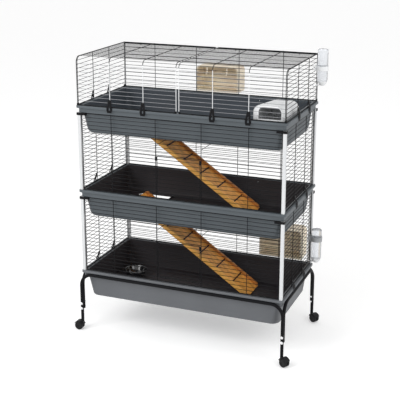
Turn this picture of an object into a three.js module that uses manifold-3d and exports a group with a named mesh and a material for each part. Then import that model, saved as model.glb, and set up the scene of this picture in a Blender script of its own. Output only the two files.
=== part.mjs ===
// A three-tier ferret cage on a castered tube stand: moulded trays, wire walls, a lifting wire roof in two
// halves, drop doors, wooden ramps and the furniture that hangs or stands in it. Millimetres, +Z up.
// The front faces -Y, +X is the front's right. The ready group stands on Z = 0, centred on its outline.
import * as THREE from "three";
import { mergeVertices } from "three/addons/utils/BufferGeometryUtils.js";
import Module from "manifold-3d";

const wasm = await Module();
wasm.setup();

// ---------------------------------------------------------------- driving dimensions

const clearance = 0.3; // between pieces that touch
const cageWidth = 1180; // over the wire of the top tier
const cageDepth = 588;
const tierPitch = 477.5; // from one tray rim to the next
const lowestRim = 367; // floor to the lowest tray's rim
const topWireHeight = 266; // top tray's rim to the roof wire

// trays
const trayHeight = 158;
const lipOverhang = 8; // beyond the top tier's wire
const lipHeight = 14;
const lipStep = 12; // lip beyond the rim band
const bandHeight = 40; // rim band, lip included
const bandThickness = 14;
const lipCornerRadius = 20;
const bandCornerRadius = 14;
const tubRimRadius = 26; // tub's corners at the rim, and at the floor
const tubCornerRadius = 48;
const tubTaper = 12; // each side, rim to floor
const tubFloorRound = { lower: 10, middle: 38, upper: 38 }; // between the tub's sides and its floor
const tubRoundSteps = 3;
const trayWall = 4;
const cornerSteps = 4;
const airHoleRadius = 4.5; // in the back rim band of the two upper trays
const airHoleX = 260;
const airHoleDrop = 20;

// ramp hatches in the two upper trays
const hatchLength = 180;
const hatchWidth = 230;
const hatchFromLeft = 142; // from the tray's inner walls at the rim
const hatchFromBack = 54;
const hatchCornerRadius = 18;
const hatchCollarHeight = 10;
const hatchCollarWall = 4;

// corner posts
const postSize = 18;
const postWall = 1.6;
const postCorner = 4;

// wire
const wirePitch = 22;
const wireRadius = 1.2; // the close horizontal wires
const barRadius = 1.6; // the wide-set upright wires
const edgeRadius = 1.9; // frame wires of a panel
const railRadius = 2.8; // a panel's top and bottom rails
const uprightX = [-390, -130, 130, 390];
const uprightYShare = 1 / 6; // side uprights, a third of the depth apart
const roofBarX = [195, 390];
const roofBend = 30; // radius of the roof's front bend
const lidInnerX = 8; // each roof half's edge from the middle
const bracketArm = 55; // black bracket at the top of each post
const bracketHeight = 14;
const bracketPlate = 3;
const bracketReturn = 21;
const bracketFoot = 6; // where its arm turns in to the wall's rail
const cornerFoot = 16; // black feet of the top tier's corners
const cornerFootHeight = 12;
const tieRodLevel = 13.5; // wire pitches up the wall, so that it passes between two wires
const tieRodRadius = 1.6;

// drop doors of the two lower tiers
const doorHalfWidth = 130;
const doorSill = 24; // above the tray rim
const doorHead = 242;
const doorInset = 7;
const eyeRingRadius = 3.7;
const eyeWire = 1.3;
const doorEyeX = 80;
const doorLatchWidth = 26;
const doorLatchHeight = 22;
const doorLatchThickness = 5;

// roof hinge
const lidEyeRadius = 5.2;
const lidEyeX = [110, 480];
const lidHingeDrop = 7;
const lidRailAhead = 4.2; // roof's rear rail, ahead of the hinge
const hingeRail = 2; // half the back wall's top wire, which the roof's eyes turn on

// tray clips
const clipWidth = 38;
const clipTopWidth = 18;
const clipAbove = 46; // above the tray rim
const clipBelow = 27; // below it
const clipBelowOverRail = 12; // the lowest tray's, above the stand's rail
const clipThickness = 4;
const clipWindowMargin = 6;

// stand
const tubeRadius = 9;
const tubeSides = 10;
const tubeBend = 68;
const bendSteps = 5;
const frontLegFoot = 58; // floor to the leg's open end
const sideLegFoot = 128;
const boltHeights = [134, 164];
const boltRadius = 3.2;
const boltHeadRadius = 6;
const boltHeadHeight = 4.5;
const stemRadius = 5;
const stemLength = 22;

// casters
const wheelRadius = 25;
const wheelWidth = 14;
const wheelGap = 8; // between the two discs
const wheelSides = 16;
const axleRadius = 4;
const casterTrail = 21;
const hoodGap = 1.4;
const hoodThickness = 2.6;
const casterHeadings = { front_left: 180, front_right: -30, back_left: 180, back_right: -30 };

// ramps
const rampRun = 712; // foot to head, seen from above
const rampHeadRise = 15.5; // head above the upper tray's floor
const rampWidth = 186;
const rampSideGap = 7; // from the hatch's front edge
const rampBoard = 9;
const rampRail = 13;
const rampRailHeight = 24;
const rampCleats = 6;
const cleatWidth = 7;
const cleatHeight = 5;
const rampHookRadius = 3;
const rampHookY = 60;
const rampHookRest = 1; // hook over the hatch's collar
const rampHookBed = { x: 4, z: 2 }; // where a hook starts inside the ramp's head
const rampHookOver = { x: 3, z: 4 }; // its upper corner, beyond and above the head
const rampHookPast = 2; // beyond the collar's far side
const rampHookSlant = 1; // of its hanging end

// feeding bowl
const bowlRadius = 68;
const bowlHeight = 45;
const bowlWall = 4;
const bowlFromLeft = 136; // from the tray's inner walls at the rim
const bowlFromBack = 202;
const bowlSides = 24;

// water bottles
const bottleRadius = 29;
const bottleHeight = 174;
const bottleCapHeight = 25;
const bottleOutside = 37; // beyond the cage's side
const bottleFromBack = 54;
const bottleAboveRim = { tier1: 30, tier3: 100 };
const bottleSides = 16;
const holderBand = 26;
const holderWall = 3;
const holderAbove = { tier1: 128, tier3: 81 }; // from the bottle's foot
const holderWidth = 44;
const spoutRadius = 4;
const spoutInside = 14; // past the wires
const spoutRest = 0.8; // above the wire it leans over

// hooded litter box
const litterWidth = 158;
const litterLength = 290;
const litterFromRight = 12; // from the tray's inner walls at the rim
const litterFromFront = 18;
const litterPanHeight = 128;
const litterPanTaperX = 40;
const litterPanTaperY = 36;
const litterPanRound = 24;
const litterWall = 3;
const litterCrown = 76; // hood's front above the tray rim
const litterRear = 48; // hood's back above the tray rim
const litterShoulder = 40;
const litterPillarLeft = 28;
const litterPillarRight = 9;
const litterSill = 4; // above the tray rim
const litterArchBand = 11;
const litterArchRadius = 26;

// wall boxes outside the back walls
const boxWidth = 256;
const boxDepth = 118;
const boxBoard = 8;
const boxRound = 27;
const boxHeights = { tier1: 176, tier3: 148 };
const boxFromPost = 55; // lowest tier's box
const upperBoxX = -5;
const boxHookWidth = 14;
const boxHookX = 60;
const boxHookLip = 6;

// ---------------------------------------------------------------- places worked out from them

const halfWidth = cageWidth / 2;
const halfDepth = cageDepth / 2;
const lipX = halfWidth + lipOverhang;
const lipY = halfDepth + lipOverhang;
const bandX = lipX - lipStep;
const bandY = lipY - lipStep;
const tubX = bandX - bandThickness;
const tubY = bandY - bandThickness;
const postX = halfWidth - postSize / 2;
const postY = halfDepth - postSize / 2;
const rims = [0, 1, 2].map((tier) => lowestRim + tier * tierPitch);
const floorDrop = trayHeight - trayWall; // rim to the tray's floor
const wallTopDrop = bandHeight + clearance; // next rim to the top of a lower wall
const endX = postX - postSize / 2 - edgeRadius - 3; // end wire of the lower front and back walls
const endY = postY - postSize / 2 - edgeRadius - 3;
const hatchLeft = -tubX + hatchFromLeft;
const hatchRight = hatchLeft + hatchLength;
const hatchCentreY = tubY - hatchFromBack - hatchWidth / 2;
const barOffset = wireRadius + barRadius + clearance; // uprights run outside the close wires
const barReach = barOffset + barRadius + clearance; // what lies outside them starts here
const topPlaneX = halfWidth - railRadius; // side walls of the top tier
const topPlaneY = halfDepth - railRadius;
const topEndX = topPlaneX - railRadius - edgeRadius - 2 * clearance; // ends of roof halves and back wall
const uprightY = cageDepth * uprightYShare;
const roofZ = rims[2] + topWireHeight - edgeRadius;
const tubeRail = lowestRim - lipHeight - clearance - tubeRadius;
const sideLegY = lipY - 2 * tubeRadius - clearance;
const rampCentreY = hatchCentreY - hatchWidth / 2 + rampSideGap + rampWidth / 2;
const bowlX = -tubX + bowlFromLeft;
const bowlY = tubY - bowlFromBack;
const bottleX = halfWidth + bottleOutside;
const bottleY = halfDepth - bottleFromBack;
const litterRight = tubX - litterFromRight;
const litterLeft = litterRight - litterWidth;
const litterFront = -tubY + litterFromFront;
const litterBack = litterFront + litterLength;
const boxCentreX = { tier1: postX - boxFromPost - boxWidth / 2, tier3: upperBoxX };

// ---------------------------------------------------------------- finishes

const finish = (color, roughness, metalness = 0) =>
  new THREE.MeshStandardMaterial({ color, roughness, metalness });
const trayPlastic = finish(0x5a5e62, 0.55);
const blackWire = finish(0x1c1c1e, 0.4, 0.5);
const postSteel = finish(0xc9ccd0, 0.35, 0.8);
const standPaint = finish(0x161618, 0.35, 0.4);
const clipPlastic = finish(0x0c0c0d, 0.45);
const casterPlastic = finish(0x141414, 0.5);
const rampWood = finish(0xb5762f, 0.6);
const boxWood = finish(0xd8c9ac, 0.65);
const whitePlastic = finish(0xe8e9ec, 0.4);
const clearPlastic = finish(0xd6dadd, 0.2);
const bowlGlaze = finish(0x151516, 0.15);

// ---------------------------------------------------------------- solids

// A closed geometry as a solid that can be joined and cut.
function solid(geometry) {
  const bare = geometry.clone();
  bare.deleteAttribute("normal");
  bare.deleteAttribute("uv");
  const merged = mergeVertices(bare, 1e-4);
  const triVerts = new Uint32Array(merged.index.array);
  const vertProperties = new Float32Array(merged.attributes.position.array);
  return new wasm.Manifold(new wasm.Mesh({ numProp: 3, vertProperties, triVerts }));
}

const join = (solids) => solids.reduce((whole, piece) => whole.add(piece));

function geometryOf(body) {
  const { vertProperties, triVerts } = body.getMesh();
  const geometry = new THREE.BufferGeometry();
  geometry.setAttribute("position", new THREE.BufferAttribute(new Float32Array(vertProperties), 3));
  geometry.setIndex(new THREE.BufferAttribute(new Uint32Array(triVerts), 1));
  const faceted = geometry.toNonIndexed();
  faceted.computeVertexNormals();
  return faceted;
}

const cage = new THREE.Group();

function piece(name, material, shape, place = new THREE.Vector3(), parent = cage) {
  const geometry = shape.isBufferGeometry ? shape : geometryOf(shape);
  const mesh = new THREE.Mesh(geometry, material);
  mesh.name = name;
  mesh.position.copy(place);
  parent.add(mesh);
  return mesh;
}

const vec = (x, y, z) => new THREE.Vector3(x, y, z);

// A straight wire; with four sides, an edge of it faces each way unless it is turned.
function wire(from, to, radius, sides = 4, turn = 0) {
  const along = new THREE.Vector3().subVectors(to, from);
  const geometry = new THREE.CylinderGeometry(radius, radius, along.length(), sides, 1, false, turn);
  geometry.applyQuaternion(
    new THREE.Quaternion().setFromUnitVectors(vec(0, 1, 0), along.clone().normalize()),
  );
  const middle = new THREE.Vector3().addVectors(from, to).multiplyScalar(0.5);
  return solid(geometry.translate(middle.x, middle.y, middle.z));
}

// A frame wire, its four flats facing along the axes so that thinner wires end square on them.
const flatTurn = Math.PI / 4;
const frameWire = (from, to, half) => wire(from, to, half * Math.SQRT2, 4, flatTurn);

// A route given by its stations, so that a tube has a ring at each of them and nowhere else.
class Stations extends THREE.Curve {
  constructor(points) {
    super();
    this.points = points;
  }
  getPoint(t) {
    const at = t * (this.points.length - 1);
    const before = Math.min(Math.floor(at), this.points.length - 2);
    return this.points[before].clone().lerp(this.points[before + 1], at - before);
  }
  getPointAt(u) {
    return this.getPoint(u);
  }
  getTangentAt(u) {
    const last = this.points.length - 1;
    const at = Math.round(u * last);
    const ahead = this.points[Math.min(at + 1, last)];
    const behind = this.points[Math.max(at - 1, 0)];
    return new THREE.Vector3().subVectors(ahead, behind).normalize();
  }
}

function circle(radius, sides, turn = 0) {
  const points = [];
  for (let i = 0; i < sides; i++) {
    const angle = turn + (i / sides) * 2 * Math.PI;
    points.push(new THREE.Vector2(radius * Math.cos(angle), radius * Math.sin(angle)));
  }
  return new THREE.Shape(points);
}

function tube(points, radius, sides, turn = 0) {
  const steps = points.length - 1;
  const options = { steps, extrudePath: new Stations(points), bevelEnabled: false };
  return solid(new THREE.ExtrudeGeometry(circle(radius, sides, turn), options));
}

const frameTube = (points, half) => tube(points, half * Math.SQRT2, 4, flatTurn);

// Points of a bend in the plane that two unit directions span.
function bend(centre, radius, fromDirection, toDirection, steps) {
  const points = [];
  for (let i = 0; i <= steps; i++) {
    const angle = (i / steps) * (Math.PI / 2);
    points.push(
      centre
        .clone()
        .addScaledVector(fromDirection, radius * Math.cos(angle))
        .addScaledVector(toDirection, radius * Math.sin(angle)),
    );
  }
  return points;
}

// A flat outline, (x, y), raised along Z.
function plate(shape, height, curveSegments = 6) {
  return solid(new THREE.ExtrudeGeometry(shape, { depth: height, bevelEnabled: false, curveSegments }));
}

// An outline given as (x, z) pairs, carried along Y from its front face.
function profileAlongY(shape, front, back, curveSegments = 6) {
  const geometry = new THREE.ExtrudeGeometry(shape, {
    depth: back - front,
    bevelEnabled: false,
    curveSegments,
  });
  return solid(geometry.rotateX(Math.PI / 2).translate(0, back, 0));
}

// An outline given as (y, z) pairs, carried along X.
function profileAlongX(shape, left, right, curveSegments = 6) {
  const geometry = new THREE.ExtrudeGeometry(shape, {
    depth: right - left,
    bevelEnabled: false,
    curveSegments,
  });
  const turn = new THREE.Matrix4().set(0, 0, 1, left, 1, 0, 0, 0, 0, 1, 0, 0, 0, 0, 0, 1);
  return solid(geometry.applyMatrix4(turn));
}

const outline = (pairs) => new THREE.Shape(pairs.map(([x, y]) => new THREE.Vector2(x, y)));

function block(low, high) {
  const size = new THREE.Vector3().subVectors(high, low);
  const middle = new THREE.Vector3().addVectors(low, high).multiplyScalar(0.5);
  const geometry = new THREE.BoxGeometry(size.x, size.y, size.z);
  return solid(geometry.translate(middle.x, middle.y, middle.z));
}

function roundedRectangle(left, front, right, back, radius) {
  const shape = new THREE.Shape();
  shape.moveTo(left + radius, front);
  shape.lineTo(right - radius, front);
  shape.absarc(right - radius, front + radius, radius, -Math.PI / 2, 0, false);
  shape.lineTo(right, back - radius);
  shape.absarc(right - radius, back - radius, radius, 0, Math.PI / 2, false);
  shape.lineTo(left + radius, back);
  shape.absarc(left + radius, back - radius, radius, Math.PI / 2, Math.PI, false);
  shape.lineTo(left, front + radius);
  shape.absarc(left + radius, front + radius, radius, Math.PI, 1.5 * Math.PI, false);
  return shape;
}

// A skin through rounded rectangles [halfX, halfY, radius, z], closed with a flat face at each end.
function loft(rings, steps, centreX = 0, centreY = 0) {
  const position = [];
  const index = [];
  for (const [halfX, halfY, radius, z] of rings) {
    for (let corner = 0; corner < 4; corner++) {
      const sideX = corner === 0 || corner === 3 ? 1 : -1;
      const sideY = corner < 2 ? 1 : -1;
      for (let step = 0; step <= steps; step++) {
        const angle = ((corner + step / steps) * Math.PI) / 2;
        position.push(
          centreX + sideX * (halfX - radius) + radius * Math.cos(angle),
          centreY + sideY * (halfY - radius) + radius * Math.sin(angle),
          z,
        );
      }
    }
  }
  const count = 4 * (steps + 1);
  for (let ring = 0; ring + 1 < rings.length; ring++) {
    for (let i = 0; i < count; i++) {
      const a = ring * count + i;
      const b = ring * count + ((i + 1) % count);
      index.push(a, b, b + count, a, b + count, a + count);
    }
  }
  const last = (rings.length - 1) * count;
  for (let i = 1; i + 1 < count; i++) {
    index.push(0, i + 1, i);
    index.push(last, last + i, last + i + 1);
  }
  const geometry = new THREE.BufferGeometry();
  geometry.setAttribute("position", new THREE.Float32BufferAttribute(position, 3));
  geometry.setIndex(index);
  return solid(geometry);
}

// ---------------------------------------------------------------- trays

// Rings of the round between a tub's sides and its floor, from the floor up, for the outer or inner skin.
function tubRound(halfX, halfY, corner, floor, round) {
  const rings = [];
  for (let i = 0; i <= tubRoundSteps; i++) {
    const angle = (i / tubRoundSteps) * (Math.PI / 2);
    const inset = round * (1 - Math.sin(angle));
    const rise = round * (1 - Math.cos(angle));
    rings.push([halfX - inset, halfY - inset, Math.max(corner - inset, 2), floor + rise]);
  }
  return rings;
}

function traySolid(name, withHatch) {
  const floorX = tubX - tubTaper;
  const floorY = tubY - tubTaper;
  const under = -trayHeight;
  const outerRound = tubFloorRound[name];
  const innerRound = outerRound - trayWall;
  const innerRim = tubRimRadius - trayWall;
  const innerCorner = tubCornerRadius - trayWall;
  const innerX = floorX - trayWall;
  const innerY = floorY - trayWall;
  const edge = 2; // chamfer of the lip's upper edge
  const tub = loft(
    [
      ...tubRound(floorX, floorY, tubCornerRadius, under, outerRound),
      [tubX, tubY, tubRimRadius, -bandHeight],
      [bandX, bandY, bandCornerRadius, -bandHeight],
      [bandX, bandY, bandCornerRadius, -lipHeight],
      [lipX, lipY, lipCornerRadius, -lipHeight],
      [lipX, lipY, lipCornerRadius, -edge],
      [lipX - edge, lipY - edge, lipCornerRadius - edge, 0],
      [tubX - trayWall + edge, tubY - trayWall + edge, innerRim + edge, 0],
      [tubX - trayWall, tubY - trayWall, innerRim, -bandHeight],
      ...tubRound(innerX, innerY, innerCorner, under + trayWall, innerRound).reverse(),
    ],
    cornerSteps,
  );
  if (!withHatch) return tub;
  const collar = hatchCollarWall;
  const front = hatchCentreY - hatchWidth / 2;
  const back = hatchCentreY + hatchWidth / 2;
  const rim = roundedRectangle(
    hatchLeft - collar, front - collar, hatchRight + collar, back + collar, hatchCornerRadius + collar,
  );
  const way = roundedRectangle(hatchLeft, front, hatchRight, back, hatchCornerRadius);
  const floor = under + trayWall;
  const collarRing = plate(rim, hatchCollarHeight + trayWall / 2, 3).translate([0, 0, floor - trayWall / 2]);
  const wayThrough = plate(way, 2 * (hatchCollarHeight + trayWall), 3)
    .translate([0, 0, under - hatchCollarHeight / 2]);
  const airHole = wire(vec(airHoleX, tubY - bandThickness, -airHoleDrop), vec(airHoleX, lipY, -airHoleDrop),
    airHoleRadius, 8);
  return tub.add(collarRing).subtract(wayThrough).subtract(airHole);
}

["lower", "middle", "upper"].forEach((name, tier) => {
  piece("tray_" + name, trayPlastic, traySolid(name, tier > 0), vec(0, 0, rims[tier]));
});

// ---------------------------------------------------------------- corner posts

const postLength = tierPitch - wallTopDrop - clearance;
const postSection = roundedRectangle(-postSize / 2, -postSize / 2, postSize / 2, postSize / 2, postCorner);
const postBore = postSize / 2 - postWall;
postSection.holes.push(
  new THREE.Path([
    new THREE.Vector2(-postBore, -postBore),
    new THREE.Vector2(-postBore, postBore),
    new THREE.Vector2(postBore, postBore),
    new THREE.Vector2(postBore, -postBore),
  ]),
);
const corners = [
  ["front_left", -1, -1],
  ["front_right", 1, -1],
  ["back_left", -1, 1],
  ["back_right", 1, 1],
];
for (const tier of [0, 1]) {
  for (const [corner, sideX, sideY] of corners) {
    const post = plate(postSection, postLength, 1);
    const foot = vec(sideX * postX, sideY * postY, rims[tier] + clearance);
    piece(`post_tier${tier + 1}_${corner}`, postSteel, post, foot);
  }
}

// ---------------------------------------------------------------- tray clips

// A clip in the panel's own frame: the panel is the plane y = 0, -y is outside, z = 0 is the tray rim.
// `reach` is how far the tray's lip stands out from the panel, `below` how far down the clip comes.
function clipSolid(reach, below = clipBelow) {
  const inside = -barReach;
  const outside = -(reach + clearance);
  const shoulder = 4;
  const side = outline([
    [inside, clipAbove],
    [inside, clipAbove - 12],
    [outside, shoulder],
    [outside, -below],
    [outside - clipThickness, -below],
    [outside - clipThickness, shoulder + 1],
    [inside - clipThickness, clipAbove - 10],
    [inside - clipThickness, clipAbove],
  ]);
  const margin = clipWindowMargin;
  const face = outline([
    [-clipTopWidth / 2, clipAbove + 1],
    [-clipWidth / 2, -clipBelow / 3],
    [-clipWidth / 2 + margin / 2, -clipBelow - 1],
    [clipWidth / 2 - margin / 2, -clipBelow - 1],
    [clipWidth / 2, -clipBelow / 3],
    [clipTopWidth / 2, clipAbove + 1],
  ]);
  face.holes.push(
    new THREE.Path(
      [
        [-clipTopWidth / 2 + margin, clipAbove - 2 * margin],
        [clipTopWidth / 2 - margin, clipAbove - 2 * margin],
        [clipWidth / 2 - margin, -clipBelow / 3],
        [clipWidth / 2 - 1.5 * margin, -clipBelow + margin],
        [-clipWidth / 2 + 1.5 * margin, -clipBelow + margin],
        [-clipWidth / 2 + margin, -clipBelow / 3],
      ].map(([x, y]) => new THREE.Vector2(x, y)),
    ),
  );
  const bent = profileAlongX(side, -clipWidth / 2, clipWidth / 2);
  return bent.intersect(profileAlongY(face, outside - 2 * clipThickness, 1));
}

// ---------------------------------------------------------------- wire panels

const levelsBetween = (low, high) => {
  const count = Math.round((high - low) / wirePitch);
  return Array.from({ length: count - 1 }, (_, i) => low + ((i + 1) * (high - low)) / count);
};

// Wires of one flat panel, its outside towards -y: close horizontal wires on the plane y = 0, end wires and
// rails round them, and uprights over them that are joined to the rails.
function panelWires(halfLength, low, high, uprights, levels, topRail = railRadius) {
  const wires = [
    frameWire(vec(-halfLength, 0, low), vec(halfLength, 0, low), railRadius),
    frameWire(vec(-halfLength, 0, high), vec(halfLength, 0, high), topRail),
  ];
  for (const side of [-1, 1]) {
    wires.push(frameWire(vec(side * halfLength, 0, low), vec(side * halfLength, 0, high), edgeRadius));
  }
  for (const x of uprights) {
    wires.push(wire(vec(x, -barOffset, low), vec(x, -barOffset, high), barRadius));
  }
  for (const z of levels) {
    wires.push(wire(vec(-halfLength, 0, z), vec(halfLength, 0, z), wireRadius));
  }
  return wires;
}

const quarterTurns = { front: 0, right: 90, back: 180, left: 270 };
const turnedTo = (body, side) => body.rotate([0, 0, quarterTurns[side]]);

const wallLow = clearance + railRadius;
const wallHigh = tierPitch - wallTopDrop - railRadius;
const wallLevels = levelsBetween(wallLow, wallHigh);

// The black bracket round the head of a corner post, in the front wall's frame, for its left end.
function postBracket() {
  const outer = postSize / 2 + clearance;
  const skin = outer + bracketPlate;
  const armEnd = bracketArm - skin;
  const plan = outline(
    [
      [-skin, -skin],
      [armEnd, -skin],
      [armEnd, railRadius],
      [armEnd - bracketFoot, railRadius],
      [armEnd - bracketFoot, -outer],
      [-outer, -outer],
      [-outer, -skin + bracketReturn],
      [-skin, -skin + bracketReturn],
    ].map(([x, y]) => [x - postX, y]),
  );
  return plate(plan, bracketHeight).translate([0, 0, wallHigh + railRadius - bracketHeight]);
}

function lowerLongWall(withDoor) {
  const atDoor = (z) => withDoor && z > doorSill && z < doorHead;
  const wires = panelWires(endX, wallLow, wallHigh, uprightX, wallLevels.filter((z) => !atDoor(z)));
  for (const side of withDoor ? [-1, 1] : []) {
    const jamb = side * doorHalfWidth;
    wires.push(frameWire(vec(jamb, 0, doorSill), vec(jamb, 0, doorHead), edgeRadius));
    for (const z of wallLevels.filter(atDoor)) {
      wires.push(wire(vec(jamb, 0, z), vec(side * endX, 0, z), wireRadius));
    }
  }
  for (const z of withDoor ? [doorSill, doorHead] : []) {
    wires.push(wire(vec(-doorHalfWidth, 0, z), vec(doorHalfWidth, 0, z), edgeRadius));
  }
  const bracket = postBracket();
  return join(wires).add(bracket).add(bracket.mirror([1, 0, 0]));
}

function lowerSideWall(below) {
  const wires = panelWires(endY, wallLow, wallHigh, [-uprightY, uprightY], wallLevels);
  const clip = clipSolid(lipX - postX, below);
  const seat = block(
    vec(-clipTopWidth / 2, -barReach - clearance, clipAbove - 8),
    vec(clipTopWidth / 2, wireRadius, clipAbove),
  );
  const clips = [-uprightY, uprightY].map((x) => clip.add(seat).translate([x, 0, 0]));
  return join([...wires, ...clips]);
}

function bottleHolder(planeX) {
  const reach = bottleX - planeX;
  const ring = circle(bottleRadius + holderWall + clearance, bottleSides);
  ring.holes.push(new THREE.Path(circle(bottleRadius + clearance, bottleSides).getPoints()));
  const band = plate(ring, holderBand);
  const backing = block(
    vec(-reach - wireRadius, -holderWidth / 2, 0),
    vec(-reach - wireRadius + 2 * holderWall, holderWidth / 2, holderBand),
  );
  const arm = block(
    vec(-reach, -holderWidth / 4, 0),
    vec(-bottleRadius - holderWall / 2, holderWidth / 4, holderBand),
  );
  return join([band, backing, arm]);
}

function holderFor(tier, planeX) {
  const name = `tier${tier + 1}`;
  return bottleHolder(planeX).translate([
    bottleX,
    bottleY,
    rims[tier] + bottleAboveRim[name] + holderAbove[name],
  ]);
}

for (const tier of [0, 1]) {
  const prefix = `tier${tier + 1}_`;
  const rim = rims[tier];
  const below = tier === 0 ? clipBelowOverRail : clipBelow;
  const wallPlaces = {
    front: [lowerLongWall(true), 0, -postY],
    back: [lowerLongWall(false), 0, postY],
    left: [lowerSideWall(below), -postX, 0],
    right: [lowerSideWall(below), postX, 0],
  };
  for (const [side, [wall, x, y]] of Object.entries(wallPlaces)) {
    let body = turnedTo(wall, side).translate([x, y, rim]);
    if (side === "right" && tier === 0) body = body.add(holderFor(0, postX));
    piece(prefix + side + "_wall", blackWire, body);
  }
  for (const [name, x] of [["left", -doorHalfWidth], ["right", doorHalfWidth]]) {
    const z = rim + wallLow + tieRodLevel * (wallLevels[1] - wallLevels[0]);
    const reach = postY + barOffset - barRadius - clearance;
    const rod = wire(vec(x, -reach, z), vec(x, reach, z), tieRodRadius, 6);
    piece(`${prefix}tie_rod_${name}`, blackWire, rod);
  }
}

// ---------------------------------------------------------------- drop doors

const eyeTurn = Math.PI / 8;
const eye = (radius, wireThickness) =>
  solid(new THREE.TorusGeometry(radius, wireThickness, 4, 8).rotateZ(eyeTurn).rotateY(Math.PI / 2));

// In the wall's frame, z from the tray rim. It turns about the sill wire.
function dropDoor() {
  const half = doorHalfWidth - doorInset;
  const foot = doorSill + eyeRingRadius + eyeWire + edgeRadius / 2;
  const head = doorHead - doorInset;
  const wires = [
    frameWire(vec(-half, 0, foot), vec(half, 0, foot), edgeRadius),
    frameWire(vec(-half, 0, head), vec(half, 0, head), edgeRadius),
  ];
  for (const side of [-1, 1]) {
    wires.push(frameWire(vec(side * half, 0, foot), vec(side * half, 0, head), edgeRadius));
    wires.push(eye(eyeRingRadius, eyeWire).translate([side * doorEyeX, 0, doorSill]));
    const latchInside = -barReach;
    const centre = side * (doorHalfWidth - doorInset / 2);
    wires.push(
      block(
        vec(centre - doorLatchWidth / 2, latchInside - doorLatchThickness, head - doorLatchHeight),
        vec(centre + doorLatchWidth / 2, latchInside, head),
      ),
      block(
        vec(side * half - edgeRadius, latchInside - 1, head - doorLatchHeight),
        vec(side * half + edgeRadius, edgeRadius / 2, head),
      ),
    );
  }
  for (const z of wallLevels.filter((level) => level > foot + wirePitch / 2 && level < head - wirePitch / 2)) {
    wires.push(wire(vec(-half, 0, z), vec(half, 0, z), wireRadius));
  }
  return join(wires);
}

for (const tier of [0, 1]) {
  piece(`tier${tier + 1}_door`, blackWire, dropDoor(), vec(0, -postY, rims[tier]));
}

// ---------------------------------------------------------------- top tier

const topHigh = roofZ - rims[2]; // roof wires above the top rim
const topLevels = levelsBetween(wallLow, topHigh);
const hingeY = topPlaneY;
const hingeZ = roofZ - lidHingeDrop;

// Side wall, in the frame of a front wall turned to the side: its front top corner follows the roof's bend.
function topSideWall(frontSign) {
  const front = frontSign * topPlaneY;
  const back = -frontSign * topPlaneY;
  const bendCentre = vec(front - frontSign * roofBend, 0, topHigh - roofBend);
  const frame = [
    vec(front, 0, wallLow),
    ...bend(bendCentre, roofBend, vec(frontSign, 0, 0), vec(0, 0, 1), 4),
    vec(back, 0, topHigh),
  ];
  const wires = [
    frameTube(frame, edgeRadius),
    frameWire(vec(front, 0, wallLow), vec(back, 0, wallLow), railRadius),
    frameWire(vec(back, 0, wallLow), vec(back, 0, topHigh), edgeRadius),
  ];
  for (const end of [front, back]) {
    const feet = vec(cornerFoot / 2, railRadius + clearance, cornerFootHeight / 2);
    const centre = vec(end - (Math.sign(end) * cornerFoot) / 4, 0, clearance + cornerFootHeight / 2);
    wires.push(block(centre.clone().sub(feet), centre.clone().add(feet)));
  }
  for (const y of [-uprightY, uprightY]) {
    wires.push(wire(vec(y, -barOffset, wallLow), vec(y, -barOffset, topHigh), barRadius));
  }
  for (const z of topLevels) {
    const rise = Math.max(0, z - bendCentre.z);
    const shortfall = roofBend - Math.sqrt(roofBend * roofBend - rise * rise);
    wires.push(wire(vec(front - frontSign * shortfall, 0, z), vec(back, 0, z), wireRadius));
  }
  return join(wires);
}

piece("tier3_left_wall", blackWire, turnedTo(topSideWall(1), "left").translate([-topPlaneX, 0, rims[2]]));
piece(
  "tier3_right_wall",
  blackWire,
  turnedTo(topSideWall(-1), "right").translate([topPlaneX, 0, rims[2]]).add(holderFor(2, topPlaneX)),
);

const backHigh = hingeZ - rims[2];
const backLevels = levelsBetween(wallLow, backHigh);
const topBack = panelWires(topEndX, wallLow, backHigh, uprightX, backLevels, hingeRail);
piece("tier3_back_wall", blackWire, turnedTo(join(topBack), "back").translate([0, hingeY, rims[2]]));

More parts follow.
